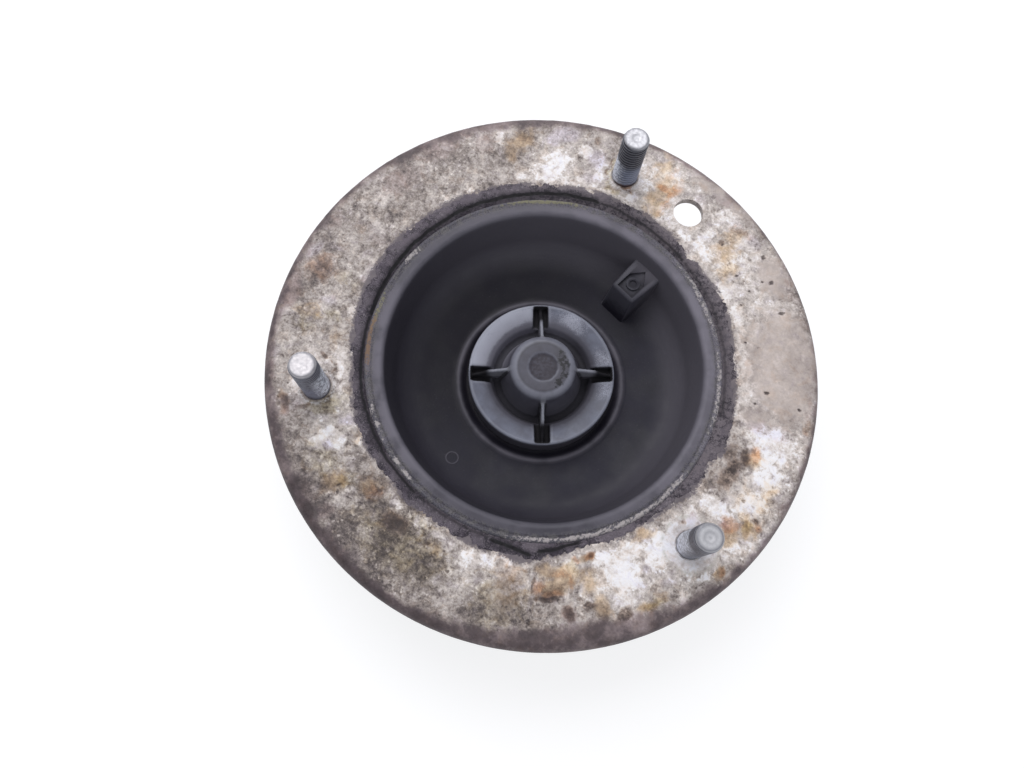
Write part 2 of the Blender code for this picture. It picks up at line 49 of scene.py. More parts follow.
# Sizes that several pieces share, read from the CAD boxes where they can be
_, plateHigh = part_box("flange_plate")
_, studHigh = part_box("stud_1")
_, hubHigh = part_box("hub_housing")
capLow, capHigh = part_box("dust_cap")
mount = {
    "flangeTop": plateHigh.z,
    "flangeRadius": plateHigh.x,
    "mouthRadius": 52.6 * mm,
    "coneAngle": math.radians(12.0),
    "fit": 0.3 * mm,
    "studCircle": 67.0 * mm,
    "studAngles": [math.radians(a) for a in (90.0, 210.0, 330.0)],
    "moatFloor": 18.5 * mm,
    "hubRadius": 22.8 * mm,
    "neckRadius": 20.9 * mm,
}


def coneRadius(height, inside):
    return mount["mouthRadius"] - (mount["flangeTop"] - height) * math.tan(mount["coneAngle"]) - inside


def polar(radius, angle):
    return (radius * math.cos(angle), radius * math.sin(angle))


# Noise on plain numbers, for shapes and stains

def latticeValue(x, y, z, seed):
    key = x * 73856093 ^ y * 19349663 ^ z * 83492791 ^ (seed * 2654435)
    key = (key ^ (key >> 13)) * 1274126177
    return ((key ^ (key >> 16)) & 65535) / 65535.0


def softNoise(points, size, seed):
    spot = points / size
    cell = np.floor(spot).astype(np.int64)
    part = spot - cell
    part = part * part * (3.0 - 2.0 * part)
    total = np.zeros(len(points))
    for dx in (0, 1):
        for dy in (0, 1):
            for dz in (0, 1):
                weight = np.where(dx, part[:, 0], 1.0 - part[:, 0])
                weight = weight * np.where(dy, part[:, 1], 1.0 - part[:, 1])
                weight = weight * np.where(dz, part[:, 2], 1.0 - part[:, 2])
                total += weight * latticeValue(cell[:, 0] + dx, cell[:, 1] + dy, cell[:, 2] + dz, seed)
    return total


def layeredNoise(points, size, seed, layers=3):
    total = np.zeros(len(points))
    share = 1.0
    whole = 0.0
    for layer in range(layers):
        total += share * softNoise(points, size, seed + 7 * layer)
        whole += share
        share *= 0.55
        size *= 0.47
    return total / whole


def smoothStep(low, high, value):
    part = np.clip((value - low) / (high - low), 0.0, 1.0)
    return part * part * (3.0 - 2.0 * part)


# Mesh helpers

def meshObject(name, points, faces, smooth=True):
    mesh = bpy.data.meshes.new(name)
    mesh.from_pydata([tuple(p) for p in points], [], faces)
    return objectFrom(name, mesh, smooth)


def objectFrom(name, mesh, smooth=True):
    shape = bmesh.new()
    shape.from_mesh(mesh)
    bmesh.ops.remove_doubles(shape, verts=shape.verts, dist=0.2e-6)
    bmesh.ops.dissolve_degenerate(shape, edges=shape.edges, dist=1e-7)
    bmesh.ops.recalc_face_normals(shape, faces=shape.faces)
    shape.to_mesh(mesh)
    shape.free()
    if smooth:
        mesh.shade_smooth()
    item = bpy.data.objects.new(name, mesh)
    bpy.context.scene.collection.objects.link(item)
    return item


def roundedPath(corners, closed=True, arcStep=math.radians(12.0)):
    points = []
    count = len(corners)
    for index, (x, y, fillet) in enumerate(corners):
        corner = Vector((x, y))
        atEnd = not closed and index in (0, count - 1)
        back = Vector(corners[index - 1][:2]) - corner
        ahead = Vector(corners[(index + 1) % count][:2]) - corner
        turn = 0.0 if atEnd else math.pi - back.angle(ahead)
        if fillet <= 0.0 or turn < math.radians(1.0):
            points.append(corner)
            continue
        reach = min(fillet * math.tan(turn / 2), 0.48 * min(back.length, ahead.length))
        radius = reach / math.tan(turn / 2)
        inward = (back.normalized() + ahead.normalized()).normalized()
        centre = corner + inward * radius / math.cos(turn / 2)
        spoke = corner + back.normalized() * reach - centre
        side = math.copysign(1.0, ahead.x * back.y - ahead.y * back.x)
        steps = max(2, math.ceil(turn / arcStep))
        for step in range(steps + 1):
            points.append(centre + Matrix.Rotation(side * turn * step / steps, 2) @ spoke)
    return points


def besidePath(corners, distance):
    moved = []
    for index, (x, y, fillet) in enumerate(corners):
        here = Vector((x, y))
        before = Vector(corners[max(index - 1, 0)][:2])
        after = Vector(corners[min(index + 1, len(corners) - 1)][:2])
        first = (here - before) if index else (after - here)
        second = (after - here) if index < len(corners) - 1 else first
        first.normalize()
        second.normalize()
        normals = Vector((-first.y, first.x)), Vector((-second.y, second.x))
        mitre = (normals[0] + normals[1]) / (1.0 + normals[0].dot(normals[1]))
        turnsLeft = first.x * second.y - first.y * second.x > 0.0
        newFillet = max(fillet - distance if turnsLeft else fillet + distance, 0.0)
        place = here + mitre * distance
        moved.append((place.x, place.y, newFillet if fillet > 0.0 else 0.0))
    return moved


def finer(points, longest, closed=False):
    # longest is a length, or a function of a point that gives one
    result = []
    pairs = list(zip(points, points[1:] + points[:1])) if closed else list(zip(points, points[1:]))
    for a, b in pairs:
        limit = longest((a + b) / 2) if callable(longest) else longest
        steps = max(1, math.ceil((b - a).length / limit - 1e-6))
        result += [a + (b - a) * step / steps for step in range(steps)]
    return result if closed else result + [points[-1]]


def spun(outline, sides, closed=True):
    # Grid of points and faces of an outline of (radius, height) points spun round Z
    outline = np.array([tuple(p) for p in outline])
    count = len(outline)
    turn = (np.arange(sides) * math.tau / sides)[:, None]
    height = np.repeat(outline[None, :, 1], sides, 0)
    points = np.stack([outline[:, 0] * np.cos(turn), outline[:, 0] * np.sin(turn), height], -1)
    faces = []
    for i in range(sides):
        j = (i + 1) % sides
        for k in range(count if closed else count - 1):
            m = (k + 1) % count
            faces.append((i * count + k, i * count + m, j * count + m, j * count + k))
    return points.reshape(-1, 3), faces


def spunObject(name, corners, sides, longest=1.5 * mm, arcStep=math.radians(14.0), closed=True):
    path = finer(roundedPath(corners, closed, arcStep), longest, closed)
    points, faces = spun(path, sides, closed)
    return meshObject(name, points, faces)


def prismShape(outline, bottom, top):
    shape = bmesh.new()
    face = shape.faces.new([shape.verts.new((x, y, bottom)) for x, y in outline])
    raised = bmesh.ops.extrude_face_region(shape, geom=[face])["geom"]
    lifted = [item for item in raised if isinstance(item, bmesh.types.BMVert)]
    bmesh.ops.translate(shape, verts=lifted, vec=(0.0, 0.0, top - bottom))
    return shape


def circlePoints(radius, sides, centre=(0.0, 0.0)):
    steps = [math.tau * index / sides for index in range(sides)]
    return [(centre[0] + radius * math.cos(a), centre[1] + radius * math.sin(a)) for a in steps]


def turnedShape(shape, angle, axis="Z"):
    bmesh.ops.rotate(shape, verts=shape.verts, cent=(0, 0, 0), matrix=Matrix.Rotation(angle, 3, axis))
    return shape


def helperObject(shapes):
    whole = bmesh.new()
    for shape in shapes:
        piece = bpy.data.meshes.new("helper")
        bmesh.ops.recalc_face_normals(shape, faces=shape.faces)
        shape.to_mesh(piece)
        shape.free()
        whole.from_mesh(piece)
        bpy.data.meshes.remove(piece)
    mesh = bpy.data.meshes.new("helper")
    whole.to_mesh(mesh)
    whole.free()
    item = bpy.data.objects.new("helper", mesh)
    bpy.context.scene.collection.objects.link(item)
    return item


def bakeModifiers(item):
    # The evaluated shape becomes the object's own plain mesh
    bpy.context.view_layer.update()
    graph = bpy.context.evaluated_depsgraph_get()
    mesh = bpy.data.meshes.new_from_object(item.evaluated_get(graph))
    item.modifiers.clear()
    old = item.data
    item.data = mesh
    bpy.data.meshes.remove(old)
    return item


def combine(target, helper, operation, solver="EXACT"):
    modifier = target.modifiers.new("step", "BOOLEAN")
    modifier.operation = operation
    modifier.solver = solver
    modifier.object = helper
    bakeModifiers(target)
    bpy.data.objects.remove(helper)


def cut(target, *shapes, solver="EXACT"):
    combine(target, helperObject(shapes), "DIFFERENCE", solver)


def join(target, *shapes, solver="EXACT"):
    combine(target, helperObject(shapes), "UNION", solver)


def vectorsOf(item, kind):
    values = np.zeros(len(item.data.vertices) * 3, np.float32)
    item.data.vertices.foreach_get(kind, values)
    return values.reshape(-1, 3).astype(float)


def measured(item):
    # Points, normals, and each point's radius and turn round Z
    points = vectorsOf(item, "co")
    x, y = points[:, 0], points[:, 1]
    return points, vectorsOf(item, "normal"), np.hypot(x, y), np.arctan2(y, x)


def setPoints(item, points):
    item.data.vertices.foreach_set("co", points.astype(np.float32).reshape(-1))
    item.data.update()


def creased(item, degrees):
    item.data.shade_smooth()
    item.data.set_sharp_from_angle(angle=math.radians(degrees))


def lobe(turn, middle, low, high):
    # 1 round one direction in degrees, 0 away from it
    return smoothStep(low, high, np.cos(turn - math.radians(middle)))


def paint(item, name, red, green=None, blue=None):
    count = len(item.data.vertices)
    values = np.zeros((count, 4), np.float32)
    values[:, 3] = 1.0
    for column, channel in enumerate((red, green, blue)):
        if channel is not None:
            values[:, column] = np.clip(channel, 0.0, 1.0)
    attribute = item.data.attributes.new(name, "FLOAT_COLOR", "POINT")
    attribute.data.foreach_set("color", values.reshape(-1))


def edgeBend(item, reach=2):
    # How sharply the surface turns at each point: above 0 on outer edges, below 0 in corners
    mesh = item.data
    points, normals = vectorsOf(item, "co"), vectorsOf(item, "normal")
    ends = np.zeros(len(mesh.edges) * 2, np.int32)
    mesh.edges.foreach_get("vertices", ends)
    a, b = ends.reshape(-1, 2).T
    span = points[b] - points[a]
    length = np.maximum(np.linalg.norm(span, axis=1), 1e-9)
    lean = ((normals[b] - normals[a]) * span).sum(1) / length
    total, count = np.zeros(len(points)), np.zeros(len(points))
    for side in (a, b):
        np.add.at(total, side, lean / length * mm)
        np.add.at(count, side, 1.0)
    bend = total / np.maximum(count, 1.0)
    for _ in range(reach):
        total = bend.copy()
        count = np.ones(len(points))
        np.add.at(total, a, bend[b])
        np.add.at(total, b, bend[a])
        np.add.at(count, a, 1.0)
        np.add.at(count, b, 1.0)
        bend = total / count
    return bend


def paintEdges(item, scale=1.0):
    bend = edgeBend(item) * scale
    paint(item, "edges", bend, -bend)


def finish(item, material, body, slot, *nodes):
    item.data.materials.clear()
    item.data.materials.append(material)
    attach(item, body)
    if nodes:
        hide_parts(*nodes)
    return item


# Node helpers

def tint(red, green, blue):
    # A colour as it looks on a screen, 0 to 255
    parts = []
    for value in (red, green, blue):
        share = value / 255.0
        parts.append(share / 12.92 if share <= 0.04045 else ((share + 0.055) / 1.055) ** 2.4)
    return (*parts, 1.0)


def put(tree, kind, values=None, **settings):
    node = tree.nodes.new(kind)
    for key, value in settings.items():
        setattr(node, key, value)
    for key, value in (values or {}).items():
        feed(tree, node.inputs[key], value)
    return node


def feed(tree, socket, value):
    if isinstance(value, bpy.types.NodeSocket):
        tree.links.new(value, socket)
    else:
        socket.default_value = value


def mathNode(tree, operation, a, b=0.0, c=None):
    values = {0: a, 1: b} if c is None else {0: a, 1: b, 2: c}
    return put(tree, "ShaderNodeMath", values, operation=operation).outputs[0]


def times(tree, first, *others):
    for other in others:
        first = mathNode(tree, "MULTIPLY", first, other)
    return first


def plus(tree, a, b):
    return mathNode(tree, "ADD", a, b)


def minus(tree, a, b):
    return mathNode(tree, "SUBTRACT", a, b)


def over(tree, a, b):
    return mathNode(tree, "DIVIDE", a, b)


def larger(tree, a, b):
    return mathNode(tree, "MAXIMUM", a, b)


def timesPlus(tree, a, b, c):
    return mathNode(tree, "MULTIPLY_ADD", a, b, c)


def vectorNode(tree, operation, values, output=0):
    return put(tree, "ShaderNodeVectorMath", values, operation=operation).outputs[output]


def fade(tree, value, low, high, start=0.0, end=1.0):
    node = put(tree, "ShaderNodeMapRange", {0: value, 1: low, 2: high, 3: start, 4: end})
    node.interpolation_type = "SMOOTHSTEP"
    return node.outputs[0]


def mixColour(tree, share, a, b, blend="MIX"):
    node = put(tree, "ShaderNodeMix", data_type="RGBA", blend_type=blend)
    feed(tree, node.inputs[0], share)
    feed(tree, node.inputs[6], a)
    feed(tree, node.inputs[7], b)
    return node.outputs[2]


def layered(tree, colour, layers, blend="MIX"):
    # Each layer is a mask and the colour that it lays over the ones before
    for mask, tone in layers:
        colour = mixColour(tree, mask, colour, tone, blend)
    return colour


def noiseNode(tree, vector, size, detail=3.0, roughness=0.5, distortion=0.0, output="Fac"):
    isSocket = isinstance(size, bpy.types.NodeSocket)
    scale = over(tree, 1.0, size) if isSocket else 1.0 / size
    values = {
        "Vector": vector,
        "Scale": scale,
        "Detail": detail,
        "Roughness": roughness,
        "Distortion": distortion,
    }
    return put(tree, "ShaderNodeTexNoise", values).outputs[output]


def newGroup(name, inputs, outputs, kind="ShaderNodeTree"):
    # Each input is given as a kind of socket, or as a number that is its default
    tree = bpy.data.node_groups.new(name, kind)
    for label, value in inputs.items():
        word = value if isinstance(value, str) else type(value).__name__.title()
        socket = tree.interface.new_socket(name=label, in_out="INPUT", socket_type=f"NodeSocket{word}")
        if word != value:
            socket.default_value = value
    for label, word in outputs.items():
        tree.interface.new_socket(name=label, in_out="OUTPUT", socket_type=f"NodeSocket{word}")
    return tree, put(tree, "NodeGroupInput").outputs, put(tree, "NodeGroupOutput").inputs


def place(tree, group, values):
    node = tree.nodes.new("ShaderNodeGroup")
    node.node_tree = group
    for key, value in values.items():
        feed(tree, node.inputs[key], value)
    return node.outputs


def newMaterial(name, roughness=0.6, metallic=0.0, **constants):
    material = bpy.data.materials.new(name)
    material.use_nodes = True
    tree = material.node_tree
    shader = tree.nodes["Principled BSDF"]
    shader.inputs["Roughness"].default_value = roughness
    shader.inputs["Metallic"].default_value = metallic
    for key, value in constants.items():
        shader.inputs[key.replace("_", " ")].default_value = value
    coords = put(tree, "ShaderNodeTexCoord").outputs["Object"]
    return material, tree, shader, coords


def paintedField(tree, name):
    colour = put(tree, "ShaderNodeAttribute", attribute_name=name).outputs["Color"]
    return put(tree, "ShaderNodeSeparateColor", {0: colour}).outputs


def grainAt(tree, coords, size):
    return place(tree, grainGroup, {"Vector": coords, "Size": size})


def wearAt(tree, coords, size, reach):
    return place(tree, wearGroup, {"Vector": coords, "Size": size, "Reach": reach})


def dustAt(tree, coords, amount, size):
    return place(tree, dustGroup, {"Vector": coords, "Amount": amount, "Size": size})["Mask"]


def specksAt(tree, coords, size, clump):
    return place(tree, speckGroup, {"Vector": coords, "Size": size, "Clump": clump})


def stained(tree, field, noise, ragged, soft, cover=0.85, under=None, colour=None):
    # The stain's mask, and the colour it leaves when it is given two
    values = {"Field": field, "Noise": noise, "Ragged": ragged, "Soft": soft, "Cover": cover}
    if colour is not None:
        values.update({"Under": under, "Colour": colour})
    return place(tree, stainGroup, values)


def dress(tree, shader, tone, rough, height, distance, strength):
    # Colour, roughness and relief of a material
    values = {"Height": height, "Distance": distance, "Strength": strength}
    feed(tree, shader.inputs["Base Color"], tone)
    feed(tree, shader.inputs["Roughness"], rough)
    feed(tree, shader.inputs["Normal"], put(tree, "ShaderNodeBump", values).outputs[0])


# Shader groups that several materials use

def makeGrainGroup():
    # Three sizes of noise from one size in metres
    tree, ins, ends = newGroup(
        "surfaceGrain",
        {"Vector": "Vector", "Size": 1.0 * mm},
        {"Coarse": "Float", "Middle": "Float", "Fine": "Float"},
    )
    scale = over(tree, 1.0, ins["Size"])
    for label, share, detail in (("Coarse", 0.18, 4.0), ("Middle", 1.0, 3.0), ("Fine", 4.0, 2.0)):
        values = {"Vector": ins["Vector"], "Scale": times(tree, scale, share), "Detail": detail}
        feed(tree, ends[label], put(tree, "ShaderNodeTexNoise", values).outputs["Fac"])
    return tree


def makeStainGroup():
    # A painted field with a ragged edge, and the colour it leaves over the one beneath
    tree, ins, ends = newGroup(
        "stainLayer",
        {
            "Under": "Color",
            "Colour": "Color",
            "Field": 0.0,
            "Noise": 0.5,
            "Ragged": 0.8,
            "Soft": 0.12,
            "Cover": 1.0,
        },
        {"Colour": "Color", "Mask": "Float"},
    )
    shift = times(tree, minus(tree, ins["Noise"], 0.5), ins["Ragged"])
    level = plus(tree, ins["Field"], shift)
    mask = fade(tree, level, minus(tree, 0.5, ins["Soft"]), plus(tree, 0.5, ins["Soft"]))
    mask = times(tree, mask, fade(tree, ins["Field"], 0.01, 0.12), ins["Cover"])
    feed(tree, ends["Colour"], mixColour(tree, mask, ins["Under"], ins["Colour"]))
    feed(tree, ends["Mask"], mask)
    return tree


def makeDustGroup():
    # Dust that settles on faces that look up, broken by noise
    inputs = {"Vector": "Vector", "Amount": 0.5, "Size": 4.0 * mm}
    tree, ins, ends = newGroup("dustFilm", inputs, {"Mask": "Float"})
    normal = put(tree, "ShaderNodeNewGeometry").outputs["Normal"]
    facing = put(tree, "ShaderNodeSeparateXYZ", {0: normal}).outputs["Z"]
    patch = fade(tree, noiseNode(tree, ins["Vector"], ins["Size"], 6.0, 0.62), 0.3, 0.72)
    feed(tree, ends["Mask"], times(tree, fade(tree, facing, 0.1, 0.95), patch, ins["Amount"]))
    return tree


def makeWearGroup():
    # Rubbed outer edges, and darkening in concave corners, from the painted edges
    inputs = {"Vector": "Vector", "Size": 1.0 * mm, "Reach": 0.3}
    tree, ins, ends = newGroup("edgeWear", inputs, {"Rubbed": "Float", "CornerDark": "Float"})
    edges = paintedField(tree, "edges")
    noise = noiseNode(tree, ins["Vector"], ins["Size"], 4.0)
    shift = times(tree, minus(tree, noise, 0.5), ins["Reach"])
    for label, channel in (("Rubbed", 0), ("CornerDark", 1)):
        mask = fade(tree, plus(tree, edges[channel], shift), 0.04, 0.3)
        feed(tree, ends[label], times(tree, mask, fade(tree, edges[channel], 0.01, 0.08)))
    return tree


def makeSpeckGroup():
    # Small grains in clumps, light ones and dark ones
    inputs = {"Vector": "Vector", "Size": 1.0 * mm, "Clump": 6.0 * mm}
    tree, ins, ends = newGroup("crustSpecks", inputs, {"Light": "Float", "Dark": "Float"})
    shake = noiseNode(tree, ins["Vector"], ins["Size"], 2.0, output="Color")
    shake = vectorNode(tree, "SUBTRACT", {0: shake, 1: (0.5, 0.5, 0.5)})
    shake = vectorNode(tree, "SCALE", {0: shake, "Scale": times(tree, ins["Size"], 1.6)})
    spot = vectorNode(tree, "ADD", {0: ins["Vector"], 1: shake})
    values = {"Vector": spot, "Scale": over(tree, 1.0, ins["Size"])}
    cells = put(tree, "ShaderNodeTexVoronoi", values).outputs
    chance = put(tree, "ShaderNodeSeparateColor", {0: cells["Color"]}).outputs
    dot = fade(tree, cells["Distance"], 0.6, 0.2)
    crowd = fade(tree, noiseNode(tree, ins["Vector"], ins["Clump"]), 0.42, 0.6)
    feed(tree, ends["Light"], times(tree, dot, fade(tree, chance[0], 0.45, 0.85), crowd))
    feed(tree, ends["Dark"], times(tree, dot, fade(tree, chance[1], 0.62, 0.92)))
    return tree


grainGroup = makeGrainGroup()
stainGroup = makeStainGroup()
dustGroup = makeDustGroup()
wearGroup = makeWearGroup()
speckGroup = makeSpeckGroup()
print("shader groups ready")


# Flange plate: a pressed and zinc-plated sheet, heavily corroded

flangeSettings = {
    "sheet": 2.5 * mm,
    "rimBend": 4.5 * mm,
    "rimDrop": 6.2 * mm,
    "mouthBend": 3.5 * mm,
    "cupDepth": 26.5 * mm,
    "cupBend": 2.0 * mm,
    "cupLip": 5.5 * mm,
    "topStep": 0.44 * mm,
    "plainStep": 2.4 * mm,
    "sides": 620,
    "studHole": 4.12 * mm,
    "locatingHole": 4.7 * mm,
    "locatingAngle": math.radians(70.0),
    "bloomHeight": 0.22 * mm,
    "creamHeight": 0.12 * mm,
    "pitDepth": 0.28 * mm,
    "brownDepth": 0.10 * mm,
    "lumpHeight": 0.11 * mm,
    "rimStart": 78.5 * mm,
    "rimWear": 0.08 * mm,
    "collarReach": 12.0 * mm,
    "crustRing": 7.9 * mm,
}

